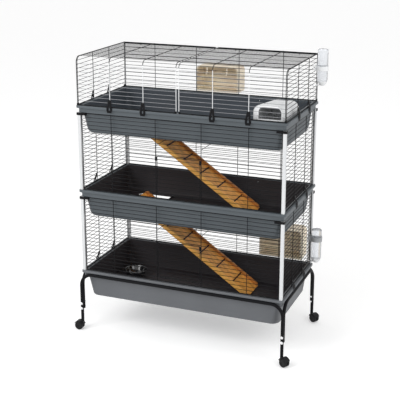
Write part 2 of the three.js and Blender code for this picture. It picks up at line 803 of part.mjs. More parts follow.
// One half of the roof and front, bent in one piece, for +X; the other half is its mirror image.
function roofHalf() {
  const frontY = -topPlaneY;
  const low = rims[2] + wallLow;
  const rearY = hingeY - lidRailAhead;
  const bendCentre = vec(0, frontY + roofBend, roofZ - roofBend);
  const shape = [
    vec(0, rearY, roofZ),
    ...bend(bendCentre, roofBend, vec(0, 0, 1), vec(0, -1, 0), 4),
    vec(0, frontY, low),
  ];
  const over = shape.map((point, i) => {
    const straight = i === 0 ? vec(0, 0, 1) : i === shape.length - 1 ? vec(0, -1, 0) : null;
    const away = straight ?? point.clone().sub(bendCentre).setX(0).normalize();
    return point.clone().addScaledVector(away, barOffset);
  });
  const atX = (points, x) => points.map((point) => vec(x, point.y, point.z));
  const wires = [
    frameTube(atX(shape, lidInnerX), edgeRadius),
    frameTube(atX(shape, topEndX), edgeRadius),
    frameWire(vec(lidInnerX, rearY, roofZ), vec(topEndX, rearY, roofZ), railRadius),
    frameWire(vec(lidInnerX, frontY, low), vec(topEndX, frontY, low), railRadius),
    block(
      vec(lidInnerX - edgeRadius, frontY - railRadius - clearance, rims[2] + clearance),
      vec(lidInnerX + cornerFoot / 2, frontY + railRadius + clearance, rims[2] + clearance + cornerFootHeight),
    ),
  ];
  for (const x of roofBarX) {
    wires.push(tube(atX(over, x), barRadius, 4));
  }
  for (const z of levelsBetween(low, roofZ - roofBend / 2)) {
    const rise = Math.max(0, z - bendCentre.z);
    const back = roofBend - Math.sqrt(roofBend * roofBend - rise * rise);
    wires.push(wire(vec(lidInnerX, frontY + back, z), vec(topEndX, frontY + back, z), wireRadius));
  }
  for (const y of levelsBetween(frontY + roofBend / 2, rearY)) {
    const rise = Math.max(0, bendCentre.y - y);
    const drop = roofBend - Math.sqrt(roofBend * roofBend - rise * rise);
    wires.push(wire(vec(lidInnerX, y, roofZ - drop), vec(topEndX, y, roofZ - drop), wireRadius));
  }
  for (const x of lidEyeX) {
    wires.push(eye(lidEyeRadius, eyeWire).translate([x, hingeY, hingeZ]));
  }
  return join(wires);
}

const rightHalf = roofHalf();
piece("roof_half_right", blackWire, rightHalf);
piece("roof_half_left", blackWire, rightHalf.mirror([1, 0, 0]));

for (const [side, sign] of [["left", -1], ["right", 1]]) {
  roofBarX.forEach((x, i) => {
    const place = vec(sign * x, -topPlaneY, rims[2]);
    piece(`front_clip_${side}_${i + 1}`, clipPlastic, clipSolid(lipY - topPlaneY), place);
  });
  for (const [end, y] of [["front", -uprightY], ["back", uprightY]]) {
    const clip = turnedTo(clipSolid(lipX - topPlaneX), side);
    piece(`side_clip_${side}_${end}`, clipPlastic, clip, vec(sign * topPlaneX, y, rims[2]));
  }
}

// ---------------------------------------------------------------- stand

const legTurn = Math.PI / 2;
const standBolt = (x, sign, z) => {
  const head = lipY + tubeRadius;
  const nutFace = sideLegY - tubeRadius - clearance;
  return [
    wire(vec(x, sign * (head + boltHeadHeight), z), vec(x, sign * (head - 2), z), boltHeadRadius, 6),
    wire(vec(x, sign * head, z), vec(x, sign * (nutFace - boltHeadHeight), z), boltRadius, 6),
    wire(vec(x, sign * nutFace, z), vec(x, sign * (nutFace - boltHeadHeight), z), boltHeadRadius, 6),
  ];
};

// An inverted U of tube in the plane that `along` and Z span.
function standFrame(halfSpan, foot, along) {
  const up = vec(0, 0, 1);
  const corner = vec(0, 0, tubeRail - tubeBend);
  const at = (distance, z) => along.clone().multiplyScalar(distance).setZ(z);
  const leftCentre = at(-(halfSpan - tubeBend), corner.z);
  const rightCentre = at(halfSpan - tubeBend, corner.z);
  const back = along.clone().negate();
  const route = [
    at(-halfSpan, foot),
    ...bend(leftCentre, tubeBend, back, up, bendSteps),
    ...bend(rightCentre, tubeBend, up, along, bendSteps),
    at(halfSpan, foot),
  ];
  return tube(route, tubeRadius, tubeSides);
}

for (const [name, sign] of [["front", -1], ["back", 1]]) {
  let frame = standFrame(lipX, frontLegFoot, vec(1, 0, 0)).translate([0, sign * lipY, 0]);
  for (const side of [-1, 1]) {
    for (const z of boltHeights) frame = join([frame, ...standBolt(side * lipX, sign, z)]);
    const bore = wire(
      vec(side * lipX, sign * lipY, frontLegFoot - 1),
      vec(side * lipX, sign * lipY, frontLegFoot + stemLength + clearance),
      stemRadius + 2 * clearance,
      8,
    );
    frame = frame.subtract(bore);
  }
  piece(`stand_${name}_frame`, standPaint, frame);
}
for (const [name, sign] of [["left", -1], ["right", 1]]) {
  let frame = standFrame(sideLegY, sideLegFoot, vec(0, 1, 0)).translate([sign * lipX, 0, 0]);
  for (const side of [-1, 1]) {
    for (const z of boltHeights) {
      const from = vec(sign * lipX, side * (sideLegY - 2 * tubeRadius), z);
      const to = vec(sign * lipX, side * (sideLegY + 2 * tubeRadius), z);
      frame = frame.subtract(wire(from, to, boltRadius + 2 * clearance, 6));
    }
  }
  piece(`stand_${name}_frame`, standPaint, frame);
}

// ---------------------------------------------------------------- casters

// Wheel pair on its axle, turned about the Y axis, as a closed profile (radius, y).
function wheelPair() {
  const inside = wheelGap / 2;
  const outside = inside + wheelWidth;
  const tread = wheelRadius;
  const shoulder = 3;
  const profile = [
    [0, -outside],
    [tread - shoulder, -outside],
    [tread, -outside + shoulder],
    [tread, -inside],
    [axleRadius, -inside],
    [axleRadius, inside],
    [tread, inside],
    [tread, outside - shoulder],
    [tread - shoulder, outside],
    [0, outside],
  ].map(([radius, y]) => new THREE.Vector2(radius, y));
  return solid(new THREE.LatheGeometry(profile, wheelSides, Math.PI / 2 - Math.PI / wheelSides));
}

// Hood and web with a stem, the swivel axis at x = y = 0 and the axle at x = trail.
function casterHood() {
  const reach = wheelGap / 2 + wheelWidth;
  const inner = wheelRadius + hoodGap;
  const outer = inner + hoodThickness;
  const arc = new THREE.Shape();
  const start = THREE.MathUtils.degToRad(25);
  const end = THREE.MathUtils.degToRad(165);
  arc.absarc(casterTrail, wheelRadius, outer, start, end, false);
  arc.absarc(casterTrail, wheelRadius, inner, end, start, true);
  const fender = profileAlongY(arc, -reach, reach, 7);
  const bossTop = frontLegFoot - clearance - 1;
  const boss = wire(vec(0, 0, wheelRadius + 12), vec(0, 0, bossTop), 9, 8);
  const room = wire(
    vec(casterTrail, -reach - 1, wheelRadius),
    vec(casterTrail, reach + 1, wheelRadius),
    inner,
    wheelSides,
  );
  const webHalf = wheelGap / 2 - 2 * clearance;
  const web = new THREE.Shape();
  web.absarc(casterTrail, wheelRadius, inner + 1, start, end, false);
  web.absarc(casterTrail, wheelRadius, axleRadius + 5, Math.PI, 2 * Math.PI, false);
  web.holes.push(
    new THREE.Path().absarc(casterTrail, wheelRadius, axleRadius + clearance, 0, 2 * Math.PI, true),
  );
  const plateSolid = profileAlongY(web, -webHalf, webHalf, 5);
  const stem = wire(vec(0, 0, bossTop - 2), vec(0, 0, frontLegFoot + stemLength), stemRadius, 8);
  return join([fender, boss]).subtract(room).add(plateSolid).add(stem);
}

for (const [corner, sideX, sideY] of corners) {
  const caster = new THREE.Group();
  caster.position.set(sideX * lipX, sideY * lipY, 0);
  caster.rotation.z = THREE.MathUtils.degToRad(casterHeadings[corner]);
  cage.add(caster);
  piece(`caster_hood_${corner}`, casterPlastic, casterHood(), vec(0, 0, 0), caster);
  piece(`caster_wheels_${corner}`, casterPlastic, wheelPair(), vec(casterTrail, 0, wheelRadius), caster);
}

// ---------------------------------------------------------------- ramps

const rampTilt = Math.atan2(tierPitch + rampHeadRise, rampRun);
const rampHeadX = hatchLeft + hatchCollarWall + rampBoard;
const rampFootX = rampHeadX + rampRun;
const hookX = hatchLeft - hatchCollarWall / 2;

// Ramp lying along -X from its foot, then tilted up; its underside's foot edge is at the origin.
function rampSolid() {
  const length = rampRun / Math.cos(rampTilt);
  const half = rampWidth / 2;
  const parts = [block(vec(-length, -half, 0), vec(0, half, rampBoard))];
  const rail = outline([
    [0, 0],
    [0, rampRailHeight * 0.55],
    [-rampRailHeight * 0.45, rampRailHeight],
    [-length + rampRailHeight * 0.45, rampRailHeight],
    [-length, rampRailHeight * 0.55],
    [-length, 0],
  ]);
  for (const side of [-1, 1]) {
    const outer = side * half;
    const inner = side * (half - rampRail);
    parts.push(profileAlongY(rail, Math.min(outer, inner), Math.max(outer, inner)));
  }
  const spacing = length / (rampCleats + 1);
  for (let i = 1; i <= rampCleats; i++) {
    const x = -i * spacing;
    parts.push(
      block(
        vec(x - cleatWidth / 2, -half + rampRail / 2, rampBoard - 1),
        vec(x + cleatWidth / 2, half - rampRail / 2, rampBoard + cleatHeight),
      ),
    );
  }
  return { body: join(parts), length };
}

const { body: flatRamp, length: rampLength } = rampSolid();
for (const tier of [0, 1]) {
  const floor = rims[tier] - floorDrop;
  const tilted = flatRamp
    .rotate([0, THREE.MathUtils.radToDeg(rampTilt), 0])
    .translate([rampFootX, rampCentreY, floor + clearance]);
  const headZ = floor + clearance + rampLength * Math.sin(rampTilt);
  const collarTop = rims[tier + 1] - floorDrop + hatchCollarHeight;
  const hookTop = collarTop + rampHookRest + rampHookRadius;
  const hooks = [-rampHookY, rampHookY].map((y) => {
    const at = (x, z) => vec(x, rampCentreY + y, z);
    const farX = hatchLeft - hatchCollarWall - rampHookRadius - rampHookPast;
    const root = at(rampHeadX + rampHookBed.x, headZ + rampHookBed.z);
    const over = at(rampHeadX - rampHookOver.x, Math.max(hookTop, headZ + rampHookOver.z));
    const across = at(hookX, hookTop);
    const tip = at(farX, hookTop);
    const drop = at(farX - rampHookSlant, hookTop - hatchCollarHeight / 2);
    return tube([root, over, across, tip, drop], rampHookRadius, 6);
  });
  piece(`ramp_tier${tier + 1}`, rampWood, join([tilted, ...hooks]));
}

// ---------------------------------------------------------------- bowl

const bowlProfile = [
  [0, 0],
  [bowlRadius * 0.72, 0],
  [bowlRadius * 0.8, bowlHeight * 0.25],
  [bowlRadius * 0.94, bowlHeight * 0.85],
  [bowlRadius, bowlHeight * 0.93],
  [bowlRadius - 1.5, bowlHeight],
  [bowlRadius - bowlWall - 1, bowlHeight * 0.95],
  [bowlRadius * 0.74, bowlHeight * 0.28],
  [bowlRadius * 0.5, bowlWall],
  [0, bowlWall],
].map(([radius, z]) => new THREE.Vector2(radius, z));
const bowl = solid(new THREE.LatheGeometry(bowlProfile, bowlSides).rotateX(Math.PI / 2));
piece("bowl", bowlGlaze, bowl, vec(bowlX, bowlY, rims[0] - floorDrop + clearance));

// ---------------------------------------------------------------- water bottles

function bottleSolid(reach, crossing) {
  const neck = bottleRadius * 0.62;
  const shoulder = bottleRadius * 0.93;
  const profile = [
    [0, 0],
    [neck * 0.7, 0],
    [neck, 5],
    [shoulder, bottleCapHeight - 4],
    [shoulder, bottleCapHeight],
    [bottleRadius, bottleCapHeight + 3],
    [bottleRadius, bottleCapHeight + bottleHeight - 5],
    [bottleRadius - 4, bottleCapHeight + bottleHeight],
    [0, bottleCapHeight + bottleHeight],
  ].map(([radius, z]) => new THREE.Vector2(radius, z));
  const body = solid(new THREE.LatheGeometry(profile, bottleSides).rotateX(Math.PI / 2));
  const root = vec(-neck / 2, 0, spoutRadius + 1);
  const through = vec(-reach, 0, crossing);
  const slope = new THREE.Vector3().subVectors(through, root).normalize();
  const tip = through.clone().addScaledVector(slope, spoutInside);
  return body.add(wire(root, tip, spoutRadius, 8));
}

for (const [tier, planeX, levels] of [[0, postX, wallLevels], [2, topPlaneX, topLevels]]) {
  const above = bottleAboveRim[`tier${tier + 1}`];
  const under = levels.filter((z) => z < above - spoutRadius - wireRadius).pop();
  const crossing = under + wireRadius + spoutRest + spoutRadius - above;
  const bottle = bottleSolid(bottleX - planeX, crossing);
  piece(`water_bottle_tier${tier + 1}`, clearPlastic, bottle, vec(bottleX, bottleY, rims[tier] + above));
}

// ---------------------------------------------------------------- hooded litter box

const litterX = (litterLeft + litterRight) / 2;
const litterY = (litterFront + litterBack) / 2;
const litterHalfX = (litterRight - litterLeft) / 2;
const litterHalfY = (litterBack - litterFront) / 2;
const litterFloor = rims[2] - floorDrop + clearance;
const litterPanTop = litterFloor + litterPanHeight;

function litterPan() {
  const bottomX = litterHalfX - litterPanTaperX;
  const bottomY = litterHalfY - litterPanTaperY;
  const lip = 3;
  const inner = litterPanRound - litterWall;
  const bead = litterPanHeight - lip;
  return loft(
    [
      [bottomX, bottomY, litterPanRound, 0],
      [litterHalfX - lip, litterHalfY - lip, litterPanRound, bead],
      [litterHalfX, litterHalfY, litterPanRound, bead],
      [litterHalfX, litterHalfY, litterPanRound, litterPanHeight],
      [litterHalfX - lip - litterWall, litterHalfY - lip - litterWall, inner, litterPanHeight],
      [bottomX - litterWall, bottomY - litterWall, inner, litterWall],
    ],
    3,
    litterX,
    litterY,
  );
}

// Shell of the hood, lower at the back, open below, with an arched way in at the front.
function litterHood() {
  const low = litterPanTop + clearance;
  const crown = rims[2] + litterCrown - low;
  const rear = rims[2] + litterRear - low;
  const arched = (inset) => {
    const half = litterHalfX - inset;
    const round = litterShoulder - inset;
    const section = [
      [half, rear - inset, round, litterBack - inset],
      [half, crown - inset, round, litterFront + inset],
    ];
    return loft(section.map(([x, y, r, depth]) => [x, y, r, -depth]), 4).rotate([90, 0, 0]);
  };
  const shell = arched(0).subtract(arched(litterWall)).translate([litterX, 0, low]);
  const above = block(
    vec(litterLeft - 1, litterFront - 1, low),
    vec(litterRight + 1, litterBack + 1, low + crown + 1),
  );
  const wayLeft = litterLeft + litterPillarLeft;
  const wayRight = litterRight - litterPillarRight;
  const wayLow = rims[2] + litterSill;
  const wayHigh = low + crown - litterArchBand;
  const round = litterArchRadius;
  const way = new THREE.Shape();
  way.moveTo(wayLeft, wayLow);
  way.lineTo(wayRight, wayLow);
  way.lineTo(wayRight, wayHigh - round);
  way.absarc(wayRight - round, wayHigh - round, round, 0, Math.PI / 2, false);
  way.lineTo(wayLeft + round, wayHigh);
  way.absarc(wayLeft + round, wayHigh - round, round, Math.PI / 2, Math.PI, false);
  const wayIn = profileAlongY(way, litterFront - 1, litterFront + 2 * litterWall, 5);
  return shell.intersect(above).subtract(wayIn);
}

piece("litter_pan", whitePlastic, litterPan(), vec(0, 0, litterFloor));
piece("litter_hood", whitePlastic, litterHood());

// ---------------------------------------------------------------- wall boxes

// A box of thin board, open towards the wires, its two upper edges rounded; x centred, y = 0 at the open side.
function wallBox(height, hookLevel) {
  const section = (inset) => {
    const half = boxWidth / 2 - inset;
    const round = boxRound - inset;
    const shape = new THREE.Shape();
    shape.moveTo(-half, inset);
    shape.lineTo(half, inset);
    shape.lineTo(half, height - inset - round);
    shape.absarc(half - round, height - inset - round, round, 0, Math.PI / 2, false);
    shape.lineTo(-half + round, height - inset);
    shape.absarc(-half + round, height - inset - round, round, Math.PI / 2, Math.PI, false);
    return shape;
  };
  const outside = profileAlongY(section(0), 0, boxDepth, 4);
  const inside = profileAlongY(section(boxBoard), -1, boxDepth - boxBoard, 4);
  const wireDepth = barReach + wireRadius + 2 * clearance + 2; // from the open side to inside the wires
  const hooks = [-boxHookX, boxHookX].flatMap((x) => {
    const left = x - boxHookWidth / 2;
    const right = x + boxHookWidth / 2;
    const thick = 3;
    return [
      block(vec(left, 0, hookLevel), vec(right, thick, height - boxBoard / 2)),
      block(vec(left, -wireDepth, hookLevel), vec(right, thick, hookLevel + thick)),
      block(vec(left, -wireDepth, hookLevel - boxHookLip), vec(right, -wireDepth + 2, hookLevel + thick)),
    ];
  });
  return join([outside.subtract(inside), ...hooks]);
}

function hangBox(tier, planeY, levels) {
  const name = `tier${tier + 1}`;
  const height = boxHeights[name];
  const foot = 2 * railRadius + 2 * clearance; // clear of the wall's lower rail
  const under = levels.filter((z) => z < foot + height - boxRound).pop();
  const hookLevel = under + wireRadius + clearance - foot;
  const y = planeY + barReach;
  piece(`wall_box_${name}`, boxWood, wallBox(height, hookLevel), vec(boxCentreX[name], y, rims[tier] + foot));
}

hangBox(0, postY, wallLevels);
hangBox(2, hingeY, backLevels);

// ---------------------------------------------------------------- stand it on its outline's centre

const bounds = new THREE.Box3().setFromObject(cage);
const middle = bounds.getCenter(new THREE.Vector3());
cage.position.set(-middle.x, -middle.y, -bounds.min.z);

export default cage;
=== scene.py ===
import bpy
import numpy as np
from math import cos, pi, radians, sin
from mathutils import Matrix, Vector


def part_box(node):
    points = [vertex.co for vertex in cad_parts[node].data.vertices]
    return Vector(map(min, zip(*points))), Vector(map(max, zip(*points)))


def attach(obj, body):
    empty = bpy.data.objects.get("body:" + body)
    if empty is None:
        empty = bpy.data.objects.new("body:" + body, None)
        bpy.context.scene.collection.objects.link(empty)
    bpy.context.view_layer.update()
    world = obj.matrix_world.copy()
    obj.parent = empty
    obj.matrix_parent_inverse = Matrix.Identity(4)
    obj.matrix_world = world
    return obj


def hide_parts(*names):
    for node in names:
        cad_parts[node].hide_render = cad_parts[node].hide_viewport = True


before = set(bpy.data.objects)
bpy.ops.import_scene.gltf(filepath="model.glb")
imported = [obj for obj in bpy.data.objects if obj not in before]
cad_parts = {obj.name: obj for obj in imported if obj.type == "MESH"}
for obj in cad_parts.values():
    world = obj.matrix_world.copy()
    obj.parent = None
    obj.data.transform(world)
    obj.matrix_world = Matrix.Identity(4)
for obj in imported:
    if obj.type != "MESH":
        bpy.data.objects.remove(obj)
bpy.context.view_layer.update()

# Lengths are in millimetres in the cage's own frame: x and y from its middle, z from the floor, the
# front towards -y. They are the driving sizes of the CAD frame. A pair of sizes is along x and along y.

# Tiers: from one tray's rim to the next, the rims' heights, and the play between pieces.
PITCH = 477.5
RIMS = (367.0, 367.0 + PITCH, 367.0 + 2 * PITCH)
CLEAR = 0.3

# Trays: half sizes, heights and corner rounds of the lip, the band under it and the tub, and how far each
# tub's floor is rounded into its walls.
LIP, LIP_HEIGHT, LIP_ROUND = (598.0, 302.0), 14.0, 20.0
BAND, BAND_HEIGHT, BAND_ROUND = (586.0, 290.0), 40.0, 14.0
TUB, TUB_ROUND, TUB_DEPTH, TUB_TAPER, FLOOR_ROUND = (572.0, 276.0), 26.0, 158.0, 12.0, 48.0
TRAY_WALL = 4.0
TUB_EDGES = {"lower": 10.0, "middle": 38.0, "upper": 38.0}
FLOOR_DROP = TUB_DEPTH - TRAY_WALL

# The hatch in the two upper trays with its collar, and a small round hole through their back walls.
HATCH, HATCH_CENTRE, HATCH_ROUND, COLLAR, COLLAR_WALL = (90.0, 115.0), (-340.0, 107.0), 18.0, 10.0, 4.0
HOLE, HOLE_X, HOLE_DROP = 4.5, 260.0, 20.0

# Corner posts and the brackets round their heads.
POST, POST_AT, POST_WALL, POST_ROUND = 9.0, (581.0, 285.0), 1.6, 4.0
BRACKET_ARM, BRACKET_TAIL, BRACKET_TOE, BRACKET_WALL, BRACKET_HEIGHT = 55.0, 21.0, 6.0, 3.0, 14.0

# Wires: radii of close wires, uprights, end wires and rails; how far the uprights lie before the close
# wires; where that starts which hangs outside them; the enamel drawn over close wires and uprights.
WIRE, BAR, EDGE, RAIL = 1.2, 1.6, 1.9, 2.8
BAR_OFF = WIRE + BAR
BAR_REACH = 5.0
COAT = 0.2
WIRE_PITCH = 22.0

# Places of the uprights and roof bars, the lower walls' rails and ends, and the tie rods' level, counted in
# wire pitches up the wall.
UPRIGHTS, SIDE_UPRIGHTS, ROOF_BARS = (-390.0, -130.0, 130.0, 390.0), (-98.0, 98.0), (195.0, 390.0)
WALL_LOW, WALL_HIGH = CLEAR + RAIL, PITCH - BAND_HEIGHT - CLEAR - RAIL
WALL_END = (567.1, 271.1)
TIE_ROD_LEVEL = 13.5

# The top tier's walls, and the roof halves with their hinge on the back wall's top wire.
TOP_PLANE, TOP_END, TOP_HIGH, ROOF_BEND, LID_INNER = (587.2, 291.2), 581.9, 264.1, 30.0, 8.0
HINGE_DROP, HINGE_RAIL, LID_EYES, LID_EYE, LID_RAIL = 7.0, 2.0, (110.0, 480.0), 5.2, 4.2
ROOF_BAR, BEND_STEPS = 1.9, 8
FOOT_HALF, FOOT_HEIGHT = 8.0, 12.0

# Drop doors: half width, heights of sill and head, eyes round the sill wire, and the latches.
DOOR, DOOR_SILL, DOOR_HEAD, DOOR_INSET, EYE, EYE_WIRE, EYES_AT = 130.0, 24.0, 242.0, 7.0, 3.7, 1.3, 80.0
LATCH_HEIGHT, LATCH_THICK = 22.0, 5.0

# Tray clips: how far they reach below the rim, on the lowest tray and on the others, and their tube.
CLIP_BELOW_LOWEST, CLIP_BELOW, CLIP_TUBE, CLIP_FLAT = 12.0, 27.0, 7.5, 0.26

# Stand: the tubes' radius, bends and rail height, the side frames' legs, and where the tubes end.
TUBE, TUBE_BEND, TUBE_RAIL, SIDE_LEG = 9.0, 68.0, 343.7, 283.7
FRONT_FOOT, SIDE_FOOT = 58.0, 128.0
BOLT_HEIGHTS, BOLT_SHANK, BOLT_NUT, BOLT_NUT_HEIGHT = (134.0, 164.0), 3.0, 6.0, 4.5

# Casters: the axle's trail and height, the fender's two radii, half its width and half the web's, and
# where each one points.
AXLE, FENDER, FENDER_INSIDE, FENDER_HALF, WEB_HALF = (21.0, 25.0), 29.0, 26.4, 18.0, 3.4
CORNERS = {"front_left": (-1, -1), "front_right": (1, -1), "back_left": (-1, 1), "back_right": (1, 1)}
HEADINGS = {"front_left": 180.0, "front_right": -30.0, "back_left": 180.0, "back_right": -30.0}

# Ramps: slope, foot, half width, middle, board and side rails, and the cleats.
RAMP_TILT, RAMP_FOOT, RAMP_HALF, RAMP_Y, RAMP_BOARD = radians(34.7), 295.0, 93.0, 92.0, 9.0
RAMP_RAIL, RAMP_RAIL_HEIGHT, RAMP_RAIL_CUT = 13.0, 24.0, 11.0
CLEAT_GAPS, CLEAT_HALF, CLEAT_HEIGHT, RAMP_HOOKS_AT, RAMP_HOOK = 7, 3.5, 5.0, 60.0, 3.0

# What stands in the cage or hangs on it.
BOWL_AT = (-436.0, 74.0)
BOTTLE_AT, BOTTLE, SPOUT, SPOUT_REST, SPOUT_INSIDE = (627.0, 240.0), 29.0, 4.0, 0.8, 14.0
HOLDER_BAND, HOLDER_WALL, HOLDER_HALF = 26.0, 3.0, 22.0
LITTER_AT, LITTER_HALF, LITTER_PAN, PAN_ROUND = (481.0, -113.0), (79.0, 145.0), 128.0, 24.0
HOOD_ROUND, HOOD_WALL = 40.0, 3.0
BOX_HALF, BOX_ROUND, BOX_WALL, BOX_DEPTH, BOX_FOOT = 128.0, 27.0, 8.0, 118.0, 6.2
HOOKS_AT, HOOK_HALF, HOOK_WALL, HOOK_LIP, HOOK_REACH = 60.0, 4.0, 3.0, 6.0, 8.8

SHARP = 35  # degrees between two faces from which their edge is drawn sharp

lip_low, lip_high = (np.array(c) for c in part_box("tray_lower"))
ORIGIN = np.array([*((lip_low + lip_high) / 2)[:2], lip_high[2] - RIMS[0] / 1000])


def metres(points):
    """Millimetres in the cage's frame as metres in the scene: a thousandth of each, plus the origin."""
    return np.asarray(points, float) / 1000 + ORIGIN


# ------------------------ camera

# Its place, turn and lens follow from where the corners of trays and posts lie in the photo.
camera = bpy.data.objects.new("camera", bpy.data.cameras.new("camera"))
bpy.context.scene.collection.objects.link(camera)
bpy.context.scene.camera = camera
rightward = Vector((0.9289, 0.3702, 0.0)).normalized()
ahead = Vector((-0.3557, 0.8926, -0.2771)).normalized()
upward = rightward.cross(ahead)
camera.matrix_world = Matrix.Translation(Vector(metres((1884.4, -4704.7, 2391.2)))) @ Matrix(
    (rightward, upward, -ahead)).transposed().to_4x4()
camera.data.lens = 85.07
camera.data.sensor_width = 36.0
camera.data.shift_y = -0.07
camera.data.clip_start, camera.data.clip_end = 0.1, 60.0


# ------------------------ surfaces

class Skins:
    """Closed skins of one piece: points, quads between rings, and the flat ends."""

    def __init__(self):
        self.points, self.faces, self.count = [], [], 0

    def add(self, points, quads, ends=()):
        """Adds one closed skin, turned right way out by the sign of its volume."""
        p = np.asarray(points, float).reshape(-1, 3)
        quads = np.asarray(quads, int).reshape(-1, 4)
        fans = [(e[0], e[i], e[i + 1]) for e in ends for i in range(1, len(e) - 1)]
        fans = np.array(fans, int).reshape(-1, 3)
        thirds = np.concatenate([quads[:, [0, 1, 2]], quads[:, [0, 2, 3]], fans])
        volume = np.einsum("ij,ij->i", p[thirds[:, 0]], np.cross(p[thirds[:, 1]], p[thirds[:, 2]])).sum()
        step = -1 if volume < 0 else 1
        self.faces += (quads[:, ::step] + self.count).tolist()
        self.faces += [[i + self.count for i in list(e)[::step]] for e in ends]
        self.points.append(p)
        self.count += len(p)
        return self

    def rings(self, rings, closed=False):
        """Quads between neighbouring rings, an array (rings, points, 3); open rows get flat ends."""
        rings = np.asarray(rings, float)
        many, size = rings.shape[:2]
        row = np.arange(many if closed else many - 1)[:, None] * size
        after = (row + size) % (many * size)
        column = np.arange(size)[None]
        beside = (column + 1) % size
        quads = np.stack(np.broadcast_arrays(row + column, row + beside, after + beside, after + column), -1)
        ends = [] if closed else [range(size)[::-1], range((many - 1) * size, many * size)]
        return self.add(rings, quads, ends)

    def tube(self, path, radius, side, sides=12, closed=False, flat=1.0):
        """Tube along a path in one plane: point + radius (cos t side + flat sin t (along x side))."""
        path, side = np.asarray(path, float), np.asarray(side, float)
        along = (np.roll(path, -1, 0) - np.roll(path, 1, 0)) if closed else np.gradient(path, axis=0)
        along /= np.linalg.norm(along, axis=1)[:, None]
        turn = np.arange(sides) * 2 * pi / sides
        across = np.cross(along, side)
        ring = np.cos(turn)[None, :, None] * side + flat * np.sin(turn)[None, :, None] * across[:, None]
        return self.rings(path[:, None] + radius * ring, closed)

    def wires(self, starts, ends, radius, sides=8):
        """Straight wires: both ends are rings radius (cos t a + sin t b), a and b square to the wire."""
        starts, ends = np.broadcast_arrays(np.atleast_2d(starts).astype(float), np.atleast_2d(ends))
        along = ends - starts
        along = along / np.linalg.norm(along, axis=1)[:, None]
        helper = np.where(np.abs(along[:, 2:]) > 0.9, (1.0, 0.0, 0.0), (0.0, 0.0, 1.0))
        a = np.cross(helper, along)
        a /= np.linalg.norm(a, axis=1)[:, None]
        b = np.cross(along, a)
        turn = (np.arange(sides) + 0.5) * 2 * pi / sides
        ring = radius * (np.cos(turn)[None, :, None] * a[:, None] + np.sin(turn)[None, :, None] * b[:, None])
        for near, far in zip(starts[:, None] + ring, ends[:, None] + ring):
            self.rings((near, far))
        return self

    def revolve(self, profile, centre, axis="z", sides=40):
        """Profile of (radius, height) turned about the axis through centre: (r cos t, r sin t, h)."""
        profile = np.asarray(profile, float)
        turn = np.arange(sides) * 2 * pi / sides
        u, v = profile[:, :1] * np.cos(turn), profile[:, :1] * np.sin(turn)
        h = np.broadcast_to(profile[:, 1:], u.shape)
        return self.rings(np.stack(AXES[axis](u, v, h), -1) + np.asarray(centre, float))

    def extrude(self, outline, low, high, axis="z"):
        """A flat outline carried straight along the axis from low to high."""
        outline = np.asarray(outline, float)
        u = np.broadcast_to(outline[:, 0], (2, len(outline)))
        v = np.broadcast_to(outline[:, 1], (2, len(outline)))
        h = np.broadcast_to(np.array([[low], [high]], float), u.shape)
        return self.rings(np.stack(AXES[axis](u, v, h), -1))

    def block(self, low, high):
        """A box between two opposite corners: its plan carried straight up from low to high."""
        (x0, y0, z0), (x1, y1, z1) = low, high
        return self.extrude([(x0, y0), (x1, y0), (x1, y1), (x0, y1)], z0, z1)

    def placed(self, turn=0.0, at=(0, 0, 0)):
        """The same skins turned about z by an angle in degrees, then moved."""
        c, s = cos(radians(turn)), sin(radians(turn))
        spin = np.array(((c, s, 0), (-s, c, 0), (0, 0, 1)))
        self.points = [p @ spin + np.asarray(at, float) for p in self.points]
        return self

    def merge(self, other):
        """Takes in another's skins: its points as they are, its faces counted on from these."""
        self.points += other.points
        self.faces += [[i + self.count for i in face] for face in other.faces]
        self.count += other.count
        return self


# Which way the outline's (u, v) and the height h lie, for each axis of turning or extruding.
AXES = {
    "z": lambda u, v, h: (u, v, h),
    "y": lambda u, v, h: (u, h, v),
    "x": lambda u, v, h: (h, u, v),
}


def plan(half_x, half_y, radius, z, centre=(0.0, 0.0), steps=8):
    """Rounded rectangles, one per entry: corner centre + radius (cos t, sin t), t over each quarter."""
    half_x, half_y, radius, z = (np.asarray(v, float)[..., None, None] for v in (half_x, half_y, radius, z))
    quarter = np.arange(4)[:, None] * pi / 2
    t = quarter + np.linspace(0, pi / 2, steps + 1)[None]
    sx, sy = np.array((1, -1, -1, 1))[:, None], np.array((1, 1, -1, -1))[:, None]
    x = centre[0] + sx * (half_x - radius) + radius * np.cos(t)
    y = centre[1] + sy * (half_y - radius) + radius * np.sin(t)
    points = spread(x, y, z)
    return points.reshape(*points.shape[:-3], -1, 3)


def spread(x, y, z):
    """Points from rows of coordinates; one that is the same for all may be a single number."""
    return np.stack(np.broadcast_arrays(x, y, z), -1)


def arc(centre, radius, start, end, steps):
    """Plane points centre + radius (cos t, sin t), t from start to end in degrees."""
    t = np.radians(np.linspace(start, end, steps + 1))
    return np.stack((centre[0] + radius * np.cos(t), centre[1] + radius * np.sin(t)), -1)


def eased(points, radii, steps=4):
    """A bent line with each inner corner rounded by a quadratic curve that leaves its sides radius away."""
    points = np.asarray(points, float)
    share = np.linspace(0, 1, steps + 1)[:, None]
    rows = [points[:1]]
    for before, at, after, radius in zip(points, points[1:], points[2:], radii):
        if radius <= 0:
            rows.append(at[None])
            continue
        near, far = before[:2] - at[:2], after[:2] - at[:2]
        start = at + (before - at) * min(0.5, radius / np.linalg.norm(near))
        end = at + (after - at) * min(0.5, radius / np.linalg.norm(far))
        rows.append((1 - share) ** 2 * start + 2 * share * (1 - share) * at + share ** 2 * end)
    rows.append(points[-1:])
    return np.concatenate(rows)


